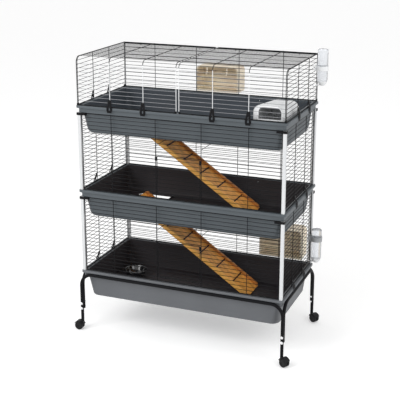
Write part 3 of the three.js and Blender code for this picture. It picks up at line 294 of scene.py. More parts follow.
def piece(name, skins, material, body="cage", stands_for=(), smooth=SHARP, bevel=None):
    """Puts the skins into a mesh object that rides on a body and stands for CAD nodes."""
    mesh = bpy.data.meshes.new(name)
    mesh.from_pydata(metres(np.concatenate(skins.points)).tolist(), [], skins.faces)
    mesh.update()
    mesh.polygons.foreach_set("use_smooth", np.ones(len(mesh.polygons), bool))
    mesh.set_sharp_from_angle(angle=radians(smooth))
    mesh.materials.append(material)
    obj = bpy.data.objects.new(name, mesh)
    bpy.context.scene.collection.objects.link(obj)
    if bevel:
        rounding = obj.modifiers.new("bevel", "BEVEL")
        rounding.width, rounding.segments, rounding.limit_method = bevel / 1000, 2, "ANGLE"
        rounding.angle_limit = radians(SHARP)
    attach(obj, body)
    if stands_for:
        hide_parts(*stands_for)
    return obj


# ------------------------ materials

ROUGH_SPREAD = 0.06
PATCH_ENDS = (0.3, 0.7)
GRAIN_DEPTH = 0.001


def finish(name, colour, rough=0.45, metal=0.0, variation=0.06, patch=6.0, grain=700.0, bump=0.03,
           stretch=(1, 1, 1), turn=0.0, coat=0.0, gloss=0.5):
    """Principled surface with patchy colour and a fine grain in its roughness and height, in object space."""
    material = bpy.data.materials.new(name)
    material.use_nodes = True
    tree = material.node_tree
    node, link = tree.nodes.new, tree.links.new
    shader = tree.nodes["Principled BSDF"]
    where = node("ShaderNodeTexCoord")
    mapping = node("ShaderNodeMapping")
    mapping.inputs["Rotation"].default_value = (0, turn, 0)
    mapping.inputs["Scale"].default_value = stretch
    link(where.outputs["Object"], mapping.inputs["Vector"])
    noises = []
    for scale, detail in ((patch, 3.0), (grain, 2.0)):
        noise = node("ShaderNodeTexNoise")
        noise.inputs["Scale"].default_value = scale
        noise.inputs["Detail"].default_value = detail
        link(mapping.outputs["Vector"], noise.inputs["Vector"])
        noises.append(noise.outputs["Fac"])
    ramp = node("ShaderNodeValToRGB")
    for element, share in zip(ramp.color_ramp.elements, (1 - variation, 1 + variation)):
        element.color = (*[min(1.0, c * share) for c in colour], 1)
    ramp.color_ramp.elements[0].position, ramp.color_ramp.elements[1].position = PATCH_ENDS
    link(noises[0], ramp.inputs["Fac"])
    link(ramp.outputs["Color"], shader.inputs["Base Color"])
    span = node("ShaderNodeMapRange")
    span.inputs["To Min"].default_value = max(0.02, rough - ROUGH_SPREAD)
    span.inputs["To Max"].default_value = rough + ROUGH_SPREAD
    link(noises[1], span.inputs["Value"])
    link(span.outputs["Result"], shader.inputs["Roughness"])
    height = node("ShaderNodeBump")
    height.inputs["Strength"].default_value = bump
    height.inputs["Distance"].default_value = GRAIN_DEPTH
    link(noises[1], height.inputs["Height"])
    link(height.outputs["Normal"], shader.inputs["Normal"])
    shader.inputs["Metallic"].default_value = metal
    shader.inputs["Specular IOR Level"].default_value = gloss
    shader.inputs["Coat Weight"].default_value = coat
    shader.inputs["Coat Roughness"].default_value = 0.1
    return material


tray_grey = finish("tray_plastic", (0.1, 0.106, 0.116), 0.5, bump=0.05)
tray_slate = finish("tray_plastic_slate", (0.062, 0.075, 0.085), 0.46, bump=0.05)
# The tubs' insides: darker copies of the tray plastic as painted shade, the upper tray's less dark than the
# two below.
tray_upper_shaded_inside = finish("tray_upper_inside_painted_shade", (0.052, 0.062, 0.075), 0.6, bump=0.05, gloss=0.3)
tray_shaded_inside = finish("tray_inside_painted_shade", (0.03, 0.026, 0.029), 0.65, bump=0.05, gloss=0.3)
wire_black = finish("wire_enamel", (0.006, 0.006, 0.007), 0.5, patch=20, gloss=0.12)
# Bright metal: real zinc on the ramp hooks, and painted highlight on the roof's black front bars.
zinc_and_painted_highlight = finish("bright_zinc_and_painted_highlight", (0.78, 0.79, 0.8), 0.3, metal=0.4, patch=30)
# Mid grey metal on the roof's black front close wires: painted sheen.
wire_painted_sheen = finish("wire_painted_sheen_grey", (0.3, 0.305, 0.32), 0.35, metal=0.6, patch=30)
post_silver = finish("post_silver", (0.62, 0.63, 0.64), 0.36, metal=0.5, stretch=(6, 6, 0.2), bump=0.04)
clip_black = finish("clip_plastic", (0.004, 0.004, 0.005), 0.5, grain=1500, gloss=0.12)
stand_black = finish("stand_paint", (0.004, 0.004, 0.005), 0.55, grain=300, bump=0.02, gloss=0.1)
tyre_black = finish("caster_plastic", (0.006, 0.006, 0.007), 0.5, grain=1200, gloss=0.2)
steel = finish("bolt_steel", (0.75, 0.75, 0.76), 0.25, metal=1.0, patch=60)
white = finish("white_plastic", (0.78, 0.79, 0.8), 0.38)
glaze = finish("bowl_glaze", (0.012, 0.012, 0.013), 0.08, bump=0.01, coat=0.8)
board = finish("box_wood", (0.93, 0.77, 0.61), 0.6, patch=5, stretch=(1, 1, 7), variation=0.2, grain=160,
               bump=0.1)
PLANK = {"patch": 5, "stretch": (1, 9, 9), "turn": RAMP_TILT, "grain": 90, "bump": 0.12, "gloss": 0.3}
honey = finish("ramp_wood", (0.8, 0.36, 0.07), 0.5, variation=0.25, **PLANK)
# Lit and shaded copies of the ramp wood for the two rails: painted shade on the back rail, painted light on
# the front one.
honey_painted_shade = finish("ramp_wood_painted_shade", (0.46, 0.18, 0.04), 0.5, variation=0.2, **PLANK)
honey_painted_light = finish("ramp_wood_painted_light", (0.86, 0.43, 0.1), 0.5, variation=0.2, **PLANK)
# Cleats in near-black: painted shade along each cleat on the board.
cleat_wood_painted_shade = finish("cleat_wood_painted_shade", (0.03, 0.01, 0.004), 0.5, patch=9, variation=0.2, grain=200, bump=0.1,
                    gloss=0.1)
clear = finish("bottle_plastic", (0.85, 0.87, 0.9), 0.12, bump=0.0)
clear.node_tree.nodes["Principled BSDF"].inputs["Transmission Weight"].default_value = 0.8
holder_grey = finish("holder_grey", (0.3, 0.31, 0.32), 0.42)


# ------------------------ trays

def tray(name, rim):
    """A tray as one shell: rounded rectangles from under the floor up outside, over the lip and down inside.

    Each row of the line is an inset from the lip, a height from the rim and a corner round, its bends eased.
    """
    edge, inner = TUB_EDGES[name], TUB_EDGES[name] - TRAY_WALL
    foot, flat = LIP[0] - TUB[0] + TUB_TAPER, 4
    band, tub, wall = LIP[0] - BAND[0], LIP[0] - TUB[0], LIP[0] - TUB[0] + TRAY_WALL
    inset, height, corner = eased([
        (foot + edge + flat, -TUB_DEPTH, max(FLOOR_ROUND - edge - flat, 3)),
        (foot, -TUB_DEPTH, FLOOR_ROUND),
        (tub, -BAND_HEIGHT, TUB_ROUND),
        (band, -BAND_HEIGHT, BAND_ROUND),
        (band, -LIP_HEIGHT, BAND_ROUND),
        (0, -LIP_HEIGHT, LIP_ROUND),
        (0, 0, LIP_ROUND),
        (wall, 0, TUB_ROUND - TRAY_WALL),
        (wall, -BAND_HEIGHT, TUB_ROUND - TRAY_WALL),
        (foot + TRAY_WALL, -FLOOR_DROP, FLOOR_ROUND - TRAY_WALL),
        (foot + TRAY_WALL + inner + flat, -FLOOR_DROP, max(FLOOR_ROUND - TRAY_WALL - inner - flat, 3)),
    ], [edge * 0.8, 3, 2, 1.5, 2.5, 4, 5, 10, inner * 0.8], steps=5).T
    shell = plan(LIP[0] - inset, LIP[1] - inset, corner, rim + height)
    if name == "lower":
        return Skins().rings(shell)
    grow, level = eased([(COLLAR_WALL, -FLOOR_DROP), (COLLAR_WALL, COLLAR - FLOOR_DROP),
                         (0, COLLAR - FLOOR_DROP), (0, -TUB_DEPTH)], [1.5, 1.5]).T
    way = plan(HATCH[0] + grow, HATCH[1] + grow, HATCH_ROUND + grow, rim + level, HATCH_CENTRE)
    return Skins().rings(np.concatenate([shell, way]), closed=True)


def pierced(obj, cutter):
    """Takes the cutter's skins out of a finished piece."""
    mesh = bpy.data.meshes.new("cutter")
    mesh.from_pydata(metres(np.concatenate(cutter.points)).tolist(), [], cutter.faces)
    tool = bpy.data.objects.new("cutter", mesh)
    bpy.context.scene.collection.objects.link(tool)
    hole = obj.modifiers.new("hole", "BOOLEAN")
    hole.object, hole.operation, hole.solver = tool, "DIFFERENCE", "EXACT"
    bpy.context.view_layer.update()
    cut = bpy.data.meshes.new_from_object(obj.evaluated_get(bpy.context.evaluated_depsgraph_get()))
    obj.modifiers.clear()
    obj.data = cut
    bpy.data.objects.remove(tool)
    cut.set_sharp_from_angle(angle=radians(SHARP))


def paint_inside_shade(obj, rim, material):
    """Gives the tub's inside a second material, a darker one with painted shade: the faces over its floor and
    under its rim that look inwards.

    A face looks inwards unless its normal, in plan, points away from the tray's middle.
    """
    mesh = obj.data
    mesh.materials.append(material)
    middle = np.zeros(3 * len(mesh.polygons))
    facing = np.zeros(3 * len(mesh.polygons))
    mesh.polygons.foreach_get("center", middle)
    mesh.polygons.foreach_get("normal", facing)
    middle = (middle.reshape(-1, 3) - ORIGIN) * 1000
    facing = facing.reshape(-1, 3)
    in_plan = (np.abs(middle[:, :2]) < np.array(TUB) - 2).all(axis=1)
    in_height = (middle[:, 2] > rim - FLOOR_DROP - 1) & (middle[:, 2] < rim - 2)
    inward = (facing[:, :2] * middle[:, :2]).sum(axis=1) < 1e-3
    mesh.polygons.foreach_set("material_index", (in_plan & in_height & inward).astype(np.int32))


# Each tray's inside takes a darker material: painted shade in the tub.
for name, rim, outside, inside in (("lower", RIMS[0], tray_grey, tray_shaded_inside),
                                   ("middle", RIMS[1], tray_slate, tray_shaded_inside),
                                   ("upper", RIMS[2], tray_slate, tray_upper_shaded_inside)):
    made = piece(f"tray_{name}_shell", tray(name, rim), outside, stands_for=[f"tray_{name}"])
    paint_inside_shade(made, rim, inside)
    if name != "lower":
        z = rim - HOLE_DROP
        pierced(made, Skins().wires((HOLE_X, TUB[1] - 16, z), (HOLE_X, LIP[1] + 8, z), HOLE, 16))

# ------------------------ corner posts and their brackets

for tier in (1, 2):
    low, high = RIMS[tier - 1] + CLEAR, RIMS[tier] - BAND_HEIGHT - CLEAR
    for corner, (sx, sy) in CORNERS.items():
        at = (sx * POST_AT[0], sy * POST_AT[1])
        outer = plan([POST] * 2, [POST] * 2, [POST_ROUND] * 2, [low, high], at, 5)
        inner = plan([POST - POST_WALL] * 2, [POST - POST_WALL] * 2, [POST_ROUND - POST_WALL] * 2,
                     [high, low], at, 5)
        piece(f"post_tier{tier}_{corner}_tube", Skins().rings(np.concatenate([outer, inner]), closed=True),
              post_silver, stands_for=[f"post_tier{tier}_{corner}"])

        skin, arm = POST + CLEAR + BRACKET_WALL, BRACKET_ARM - POST - CLEAR - BRACKET_WALL
        inside, toe, tail = BRACKET_WALL - skin, arm - BRACKET_TOE, BRACKET_TAIL - skin
        outline = np.array([(-skin, -skin), (arm, -skin), (arm, RAIL), (toe, RAIL), (toe, inside),
                            (inside, inside), (inside, tail), (-skin, tail)]) * (-sx, -sy)
        top = RIMS[tier - 1] + WALL_HIGH + RAIL
        bracket = Skins().extrude(outline + at, top - BRACKET_HEIGHT, top)
        piece(f"bracket_tier{tier}_{corner}", bracket, clip_black, bevel=0.8)

# ------------------------ wire panels

def levels_between(low, high):
    """Heights of the close wires: equal steps between two rails, as near to the wire pitch as they divide."""
    count = round((high - low) / WIRE_PITCH)
    return np.linspace(low, high, count + 1)[1:-1]


def wire_panel(length, low, high, uprights, levels, top=RAIL):
    """A panel in a front wall's frame: rails and end wires round it, close wires, uprights before them."""
    made = Skins()
    made.wires((-length - EDGE, 0, low), (length + EDGE, 0, low), RAIL, 10)
    made.wires((-length - EDGE, 0, high), (length + EDGE, 0, high), top, 10)
    made.wires([(s * length, 0, low) for s in (-1, 1)], [(s * length, 0, high) for s in (-1, 1)], EDGE, 10)
    off = COAT - BAR_OFF
    made.wires([(x, off, low) for x in uprights], [(x, off, high) for x in uprights], BAR + COAT, 10)
    if len(levels):
        made.wires([(-length, 0, z) for z in levels], [(length, 0, z) for z in levels], WIRE + COAT)
    return made


def doorway_wall(levels):
    """A front wall: its close wires stop at the doorway's jambs, and a sill and a head wire close it."""
    at_door = (levels > DOOR_SILL) & (levels < DOOR_HEAD)
    made = wire_panel(WALL_END[0], WALL_LOW, WALL_HIGH, UPRIGHTS, levels[~at_door])
    for side in (-1, 1):
        made.wires((side * DOOR, 0, DOOR_SILL), (side * DOOR, 0, DOOR_HEAD), EDGE, 10)
        z = levels[at_door]
        made.wires(spread(side * DOOR, 0, z), spread(side * WALL_END[0], 0, z), WIRE + COAT)
    for z in (DOOR_SILL, DOOR_HEAD):
        made.wires((-DOOR, 0, z), (DOOR, 0, z), EDGE, 10)
    return made


def plain_wall(end, uprights):
    """A lower tier's back or side wall, which has no doorway."""
    return wire_panel(end, WALL_LOW, WALL_HIGH, uprights, wall_levels)


def ring(centre, radius, wire, side=(1, 0, 0), sides=20):
    """A closed eye of wire square to side: a tube round centre + radius (0, cos t, sin t)."""
    t = np.arange(sides) * 2 * pi / sides
    circle = spread(0, radius * np.cos(t), radius * np.sin(t)) + centre
    return Skins().tube(circle, wire, side, 8, closed=True)


def drop_door(levels):
    """The door in the wall's frame: a wire frame with close wires, and two eyes round the sill wire."""
    half, foot, head = DOOR - DOOR_INSET, DOOR_SILL + EYE + EYE_WIRE + EDGE / 2, DOOR_HEAD - DOOR_INSET
    corners = [(half, 0, foot), (half, 0, head), (-half, 0, head), (-half, 0, foot)]
    made = Skins()
    for near, far in zip(corners, corners[1:] + corners[:1]):
        made.wires(near, far, EDGE, 10)
    inside = levels[(levels > foot + WIRE_PITCH / 2) & (levels < head - WIRE_PITCH / 2)]
    made.wires([(-half, 0, z) for z in inside], [(half, 0, z) for z in inside], WIRE)
    for side in (-1, 1):
        made.merge(ring((side * EYES_AT, 0, DOOR_SILL), EYE, EYE_WIRE))
    return made


def door_latches():
    """Two black sliding latches over the door's upper corners: a block in front, a tongue behind."""
    made = Skins()
    head = DOOR_HEAD - DOOR_INSET
    for side in (-1, 1):
        edge = side * (DOOR - DOOR_INSET)
        inner, outer = sorted((side * (DOOR - DOOR_INSET - EDGE), side * (DOOR + EDGE)))
        made.block((inner, -BAR_REACH - LATCH_THICK, head - LATCH_HEIGHT), (outer, -BAR_REACH, head))
        made.block((edge - EDGE, -BAR_REACH - 1, head - LATCH_HEIGHT), (edge + EDGE, 1, head))
    return made


def resampled(points, step):
    """The same bent line with points at even distances."""
    points = np.asarray(points, float)
    far = np.concatenate([[0], np.cumsum(np.linalg.norm(np.diff(points, axis=0), axis=1))])
    at = np.linspace(0, far[-1], int(far[-1] / step) + 1)
    return np.stack([np.interp(at, far, points[:, i]) for i in range(points.shape[1])], -1)


def clip(reach, below=CLIP_BELOW):
    """A tray clip: a thick tube round a drop-shaped loop, closed by a block at its head and one at its foot.

    The loop's y is flattened, then bent by height from the uprights' faces out over the tray's lip.
    """
    head, wide, foot = (4, 36), (11, -below / 3), (9, 8 - below)
    right, left = [head, wide, foot], [(-x, z) for x, z in (foot, wide, head)]
    path = resampled([(x, 0, z) for x, z in left[-1:] + right + left], 3.0)[:-1]
    made = Skins().tube(path, CLIP_TUBE, (0, -1, 0), 12, closed=True, flat=0.8)
    made.block((-13, -4, 1 - below), (13, 4, 9 - below))
    made.block((-8, -4, 32), (8, 4, 44))
    for p in made.points:
        p[:, 1] = p[:, 1] * CLIP_FLAT + np.interp(p[:, 2], (4.5, 36), (-reach - 2.3, -BAR_REACH - 2.0))
    return made


QUARTERS = {"front": 0, "right": 90, "back": 180, "left": 270}
wall_levels = levels_between(WALL_LOW, WALL_HIGH)
for tier in (1, 2):
    rim = RIMS[tier - 1]
    below = CLIP_BELOW_LOWEST if tier == 1 else CLIP_BELOW
    walls = {"front": (doorway_wall(wall_levels), (0, -POST_AT[1], rim)),
             "back": (plain_wall(WALL_END[0], UPRIGHTS), (0, POST_AT[1], rim)),
             "left": (plain_wall(WALL_END[1], SIDE_UPRIGHTS), (-POST_AT[0], 0, rim)),
             "right": (plain_wall(WALL_END[1], SIDE_UPRIGHTS), (POST_AT[0], 0, rim))}
    for side, (wall, at) in walls.items():
        piece(f"tier{tier}_{side}_panel", wall.placed(QUARTERS[side], at), wire_black,
              stands_for=[f"tier{tier}_{side}_wall"])
        if side in ("left", "right"):
            clips = Skins()
            for x in SIDE_UPRIGHTS:
                clips.merge(clip(LIP[0] - POST_AT[0], below).placed(0, (x, 0, 0)))
            clips.placed(QUARTERS[side], at)
            piece(f"tier{tier}_{side}_clips", clips, clip_black)
    for name, x in (("left", -DOOR), ("right", DOOR)):
        z = rim + WALL_LOW + TIE_ROD_LEVEL * (wall_levels[1] - wall_levels[0])
        reach = POST_AT[1] + BAR_OFF - BAR
        rod = Skins().wires((x, -reach, z), (x, reach, z), BAR, 10)
        piece(f"tier{tier}_tie_{name}", rod, wire_black, stands_for=[f"tier{tier}_tie_rod_{name}"])
    at = (0, -POST_AT[1], rim)
    piece(f"door_tier{tier}_wires", drop_door(wall_levels).placed(0, at), wire_black, f"door_tier{tier}",
          [f"tier{tier}_door"])
    piece(f"door_tier{tier}_latches", door_latches().placed(0, at), clip_black, f"door_tier{tier}",
          bevel=1.2)

# ------------------------ top tier

def top_side(front, levels):
    """A side wall in a front wall's frame; its front top corner and its close wires' ends follow the bend.

    A wire that lies h over the bend's middle starts bend - sqrt(bend^2 - h^2) behind the front.
    """
    back, sign = -front, np.sign(front)
    centre = (front - sign * ROOF_BEND, TOP_HIGH - ROOF_BEND)
    bend = arc(centre, ROOF_BEND, 0 if sign > 0 else 180, 90, BEND_STEPS)
    path = np.concatenate([[(front, WALL_LOW)], bend, [(back, TOP_HIGH)]])
    made = Skins().tube(spread(path[:, 0], 0, path[:, 1]), EDGE, (0, -1, 0), 10)
    made.wires((front, 0, WALL_LOW), (back, 0, WALL_LOW), RAIL, 10)
    made.wires((back, 0, WALL_LOW), (back, 0, TOP_HIGH), EDGE, 10)
    off = COAT - BAR_OFF
    made.wires([(y, off, WALL_LOW) for y in SIDE_UPRIGHTS], [(y, off, TOP_HIGH) for y in SIDE_UPRIGHTS],
               BAR + COAT, 10)
    rise = np.maximum(0, levels - TOP_HIGH + ROOF_BEND)
    start = front - sign * (ROOF_BEND - np.sqrt(ROOF_BEND ** 2 - rise ** 2))
    return made.wires(spread(start, 0, levels), spread(back, 0, levels), WIRE + COAT)


def corner_feet(ends):
    """Black feet over the lower rail's ends: blocks set in by a quarter of their width."""
    made = Skins()
    for end in ends:
        middle = end - np.sign(end) * FOOT_HALF / 2
        made.block((middle - FOOT_HALF, -RAIL - CLEAR, CLEAR),
                   (middle + FOOT_HALF, RAIL + CLEAR, CLEAR + FOOT_HEIGHT))
    return made


top_rim = RIMS[2]
top_levels = levels_between(WALL_LOW, TOP_HIGH)
for side, sign in (("left", 1), ("right", -1)):
    at = (-sign * TOP_PLANE[0], 0, top_rim)
    panel = top_side(sign * TOP_PLANE[1], top_levels).placed(QUARTERS[side], at)
    piece(f"tier3_{side}_panel", panel, wire_black, stands_for=[f"tier3_{side}_wall"])
    feet = corner_feet((TOP_PLANE[1], -TOP_PLANE[1])).placed(QUARTERS[side], at)
    piece(f"tier3_{side}_feet", feet, clip_black, bevel=1.0)
back_high = TOP_HIGH - HINGE_DROP
back_levels = levels_between(WALL_LOW, back_high)
back_wall = wire_panel(TOP_END, WALL_LOW, back_high, UPRIGHTS, back_levels, HINGE_RAIL)
piece("tier3_back_panel", back_wall.placed(180, (0, TOP_PLANE[1], top_rim)), wire_black,
      stands_for=["tier3_back_wall"])


def roof_line(off):
    """The roof's side view from its rear rail over the front bend to its foot, moved outwards by off."""
    front, top = -TOP_PLANE[1] - off, top_rim + TOP_HIGH + off
    centre = (-TOP_PLANE[1] + ROOF_BEND, top_rim + TOP_HIGH - ROOF_BEND)
    bend = arc(centre, ROOF_BEND + off, 90, 180, BEND_STEPS)
    return np.concatenate([[(TOP_PLANE[1] - LID_RAIL, top)], bend, [(front, top_rim + WALL_LOW)]])


for side, sign in (("left", -1), ("right", 1)):
    body = "roof_" + side
    rear, low = TOP_PLANE[1] - LID_RAIL, top_rim + WALL_LOW
    roof_z, front = top_rim + TOP_HIGH, -TOP_PLANE[1]
    near, far = sign * LID_INNER, sign * TOP_END
    dark, painted_highlight_bars = Skins(), Skins()
    bars = [(near, 0, EDGE), (far, 0, EDGE), *((sign * b, BAR_REACH / 2, ROOF_BAR) for b in ROOF_BARS)]
    for x, off, radius in bars:
        line = roof_line(off)
        path = spread(x, line[:, 0], line[:, 1])
        dark.tube(path[:BEND_STEPS + 1], radius, (1, 0, 0), 10)
        # Below the bend, all roof bars but the outer one are drawn bright: painted highlight on black wire.
        (dark if x == far else painted_highlight_bars).tube(path[BEND_STEPS:], radius, (1, 0, 0), 10)
    dark.wires((near - sign * EDGE, rear, roof_z), (far + sign * EDGE, rear, roof_z), RAIL, 10)
    dark.wires((near - sign * EDGE, front, low), (far + sign * EDGE, front, low), RAIL, 10)
    z = levels_between(low, roof_z - ROOF_BEND / 2)
    rise = np.maximum(0, z - roof_z + ROOF_BEND)
    y = front + ROOF_BEND - np.sqrt(ROOF_BEND ** 2 - rise ** 2)
    # The roof front's close wires are drawn mid grey: painted sheen on black wire.
    sheen_painted_wires = Skins().wires(spread(near, y, z), spread(far, y, z), WIRE)
    y = levels_between(front + ROOF_BEND / 2, rear)
    rise = np.maximum(0, front + ROOF_BEND - y)
    z = roof_z - ROOF_BEND + np.sqrt(ROOF_BEND ** 2 - rise ** 2)
    dark.wires(spread(near, y, z), spread(far, y, z), WIRE - COAT)
    for x in LID_EYES:
        dark.merge(ring((sign * x, TOP_PLANE[1], roof_z - HINGE_DROP), LID_EYE, EYE_WIRE))
    piece(f"roof_{side}_wires", dark, wire_black, body, [f"roof_half_{side}"])
    piece(f"roof_{side}_front_bars", painted_highlight_bars, zinc_and_painted_highlight, body)
    piece(f"roof_{side}_front_wires", sheen_painted_wires, wire_painted_sheen, body)
    inner, outer = sorted((near - sign * EDGE, near + sign * FOOT_HALF))
    foot = Skins().block((inner, front - RAIL - CLEAR, top_rim + CLEAR),
                         (outer, front + RAIL + CLEAR, top_rim + CLEAR + FOOT_HEIGHT))
    piece(f"roof_{side}_foot", foot, clip_black, body, bevel=1.0)

    for i, x in enumerate(ROOF_BARS):
        name = f"front_clip_{side}_{i + 1}"
        made = clip(LIP[1] - TOP_PLANE[1]).placed(0, (sign * x, front, top_rim))
        piece(name + "_loop", made, clip_black, name, [name])
    for end, y in zip(("front", "back"), SIDE_UPRIGHTS):
        name = f"side_clip_{side}_{end}"
        made = clip(LIP[0] - TOP_PLANE[0]).placed(QUARTERS[side], (sign * TOP_PLANE[0], y, top_rim))
        piece(name + "_loop", made, clip_black, name, [name])

# ------------------------ stand

def u_tube(half_span, foot, across, at):
    """An inverted U: up one leg, round two quarter bends, down the other; across is 0 for x and 1 for y."""
    top = TUBE_RAIL - TUBE_BEND
    left = arc((-half_span + TUBE_BEND, top), TUBE_BEND, 180, 90, 12)
    right = arc((half_span - TUBE_BEND, top), TUBE_BEND, 90, 0, 12)
    line = np.concatenate([[(-half_span, foot), (-half_span, foot + 2)], left, right,
                           [(half_span, foot + 2), (half_span, foot)]])
    path = np.zeros((len(line), 3)) + at
    path[:, across] += line[:, 0]
    path[:, 2] += line[:, 1]
    return Skins().tube(path, TUBE, (0, -1, 0) if across == 0 else (1, 0, 0), 24)


def bolt(x, sy, z):
    """A domed head with a washer outside the front leg, the shank through both legs and a nut behind."""
    face, back = sy * (LIP[1] + TUBE), sy * (SIDE_LEG - TUBE)
    dome = [(0.01, 5), (3, 4.6), (5.4, 3), (6, 0.8), (8, 0.8), (8, -0.5), (0.01, -0.5)]
    made = Skins().revolve([(radius, face + sy * out) for radius, out in dome], (x, 0, z), "y", 24)
    made.wires((x, face, z), (x, back, z), BOLT_SHANK, 12)
    made.wires((x, back, z), (x, back - sy * BOLT_NUT_HEIGHT, z), BOLT_NUT, 6)
    return made


for side, sy in (("front", -1), ("back", 1)):
    frame_tube = u_tube(LIP[0], FRONT_FOOT, 0, (0, sy * LIP[1], 0))
    piece(f"stand_{side}_tube", frame_tube, stand_black, stands_for=[f"stand_{side}_frame"])
    bolts = Skins()
    for sx in (-1, 1):
        for z in BOLT_HEIGHTS:
            bolts.merge(bolt(sx * LIP[0], sy, z))
    piece(f"stand_{side}_bolts", bolts, steel, smooth=40)
for side, sx in (("left", -1), ("right", 1)):
    frame_tube = u_tube(SIDE_LEG, SIDE_FOOT, 1, (sx * LIP[0], 0, 0))
    piece(f"stand_{side}_tube", frame_tube, stand_black, stands_for=[f"stand_{side}_frame"])

# ------------------------ casters

def wheel_pair():
    """Two discs on an axle: profile (radius, y) with rounded treads and a dished outer face."""
    half = eased([(0.01, 16), (9, 16), (10, 18), (20, 18), (22, 18), (24.5, 15), (24.5, 4.5), (24, 4),
                  (4, 4), (4, 0)], [0.5, 0.5, 1, 1, 2, 0.5, 0.5, 0.5])
    profile = np.concatenate([half * (1, -1), half[::-1][1:]])
    return Skins().revolve(profile, (AXLE[0], 0, AXLE[1]), "y", 40)


def caster_hood():
    """Fender round the pair, a web between the discs and the boss with its stem."""
    hood = np.concatenate([arc(AXLE, FENDER, 25, 165, 24), arc(AXLE, FENDER_INSIDE, 165, 25, 24)])
    web = np.concatenate([arc(AXLE, FENDER_INSIDE + 1, 25, 165, 24), arc(AXLE, 9, 180, 360, 8)])
    made = Skins().extrude(hood, -FENDER_HALF, FENDER_HALF, "y").extrude(web, -WEB_HALF, WEB_HALF, "y")
    made.revolve(eased([(0.01, 37), (9, 37), (9, 56.7), (5.2, 56.7), (5.2, 58), (5, 80), (0.01, 80)],
                       [0, 2, 0, 0, 1]), (0, 0, 0), "z", 24)
    return made


for corner, (sx, sy) in CORNERS.items():
    at = (sx * LIP[0], sy * LIP[1], 0)
    piece(f"caster_{corner}_hood", caster_hood().placed(HEADINGS[corner], at), tyre_black, f"caster_{corner}",
          [f"caster_hood_{corner}"], bevel=0.6)
    piece(f"caster_{corner}_pair", wheel_pair().placed(HEADINGS[corner], at), tyre_black, f"wheels_{corner}",
          [f"caster_wheels_{corner}"])

# ------------------------ ramps

RAMP_LENGTH = (RAMP_FOOT - (HATCH_CENTRE[0] - HATCH[0] + COLLAR_WALL + RAMP_BOARD)) / cos(RAMP_TILT)


def up_ramp(skins, floor):
    """Turns skins that lie along the ramp (u up the slope, y, w off the board) into place.

    x = foot - u cos(tilt) + w sin(tilt), z = floor + play + u sin(tilt) + w cos(tilt), y from the ramp's
    middle. That mirrors the skins, so their faces are turned over.
    """
    for p in skins.points:
        u, w = p[:, 0].copy(), p[:, 2].copy()
        p[:, 0] = RAMP_FOOT - u * cos(RAMP_TILT) + w * sin(RAMP_TILT)
        p[:, 1] += RAMP_Y
        p[:, 2] = floor + CLEAR + u * sin(RAMP_TILT) + w * cos(RAMP_TILT)
    skins.faces = [face[::-1] for face in skins.faces]
    return skins


for tier in (1, 2):
    floor = RIMS[tier - 1] - FLOOR_DROP
    deck = Skins().block((0, 1 - RAMP_HALF, 0), (RAMP_LENGTH, RAMP_HALF - 1, RAMP_BOARD))
    piece(f"ramp_tier{tier}_board", up_ramp(deck, floor), honey, f"ramp_tier{tier}", [f"ramp_tier{tier}"],
          bevel=0.8)
    outline = [(0, 0), (0, RAMP_RAIL_HEIGHT - RAMP_RAIL_CUT), (RAMP_RAIL_CUT, RAMP_RAIL_HEIGHT),
               (RAMP_LENGTH - RAMP_RAIL_CUT, RAMP_RAIL_HEIGHT),
               (RAMP_LENGTH, RAMP_RAIL_HEIGHT - RAMP_RAIL_CUT), (RAMP_LENGTH, 0)]
    # The front rail takes the copy of the wood with painted light, the back rail the copy with painted shade.
    for side, end, rail_wood_painted_light_and_shade in ((-1, "front", honey_painted_light), (1, "back", honey_painted_shade)):
        rail = Skins().extrude(outline, *sorted((side * RAMP_HALF, side * (RAMP_HALF - RAMP_RAIL))), "y")
        piece(f"ramp_tier{tier}_{end}_rail", up_ramp(rail, floor), rail_wood_painted_light_and_shade, f"ramp_tier{tier}",
              bevel=1.5)
    cleats = Skins()
    for i in range(1, CLEAT_GAPS):
        u = i * RAMP_LENGTH / CLEAT_GAPS
        cleats.block((u - CLEAT_HALF, RAMP_RAIL - RAMP_HALF, RAMP_BOARD - 1),
                     (u + CLEAT_HALF, RAMP_HALF - RAMP_RAIL, RAMP_BOARD + CLEAT_HEIGHT))
    piece(f"ramp_tier{tier}_cleats", up_ramp(cleats, floor), cleat_wood_painted_shade, f"ramp_tier{tier}",
          bevel=1.2)
    hooks = Skins()
    collar_top = floor + PITCH + COLLAR
    head = (RAMP_FOOT - RAMP_LENGTH * cos(RAMP_TILT), floor + CLEAR + RAMP_LENGTH * sin(RAMP_TILT))
    top = collar_top + 4
    left = HATCH_CENTRE[0] - HATCH[0]
    line = eased([(head[0] + 4, head[1] + 2), (head[0] - 3, max(top, head[1] + 4)), (left - 2, top),
                  (left - 9, top), (left - 10, top - 5)], [3, 3, 2])
    for y in (-RAMP_HOOKS_AT, RAMP_HOOKS_AT):
        path = spread(line[:, 0], RAMP_Y + y, line[:, 1])
        hooks.tube(path, RAMP_HOOK, (0, -1, 0), 12)
    piece(f"ramp_tier{tier}_hooks", hooks, zinc_and_painted_highlight, f"ramp_tier{tier}")

# ------------------------ bowl, bottles, litter box

bowl_line = eased([(0.01, 2), (40, 2), (44, 0), (49, 0), (55, 11), (64, 38), (68, 42), (66.5, 45), (63, 43),
                   (50, 13), (34, 4), (0.01, 4)], [1, 1, 3, 6, 6, 2, 2, 4, 9, 12])
bowl_foot = (*BOWL_AT, RIMS[0] - FLOOR_DROP + CLEAR)
piece("bowl_body", Skins().revolve(bowl_line, bowl_foot, sides=64), glaze, "bowl", ["bowl"])

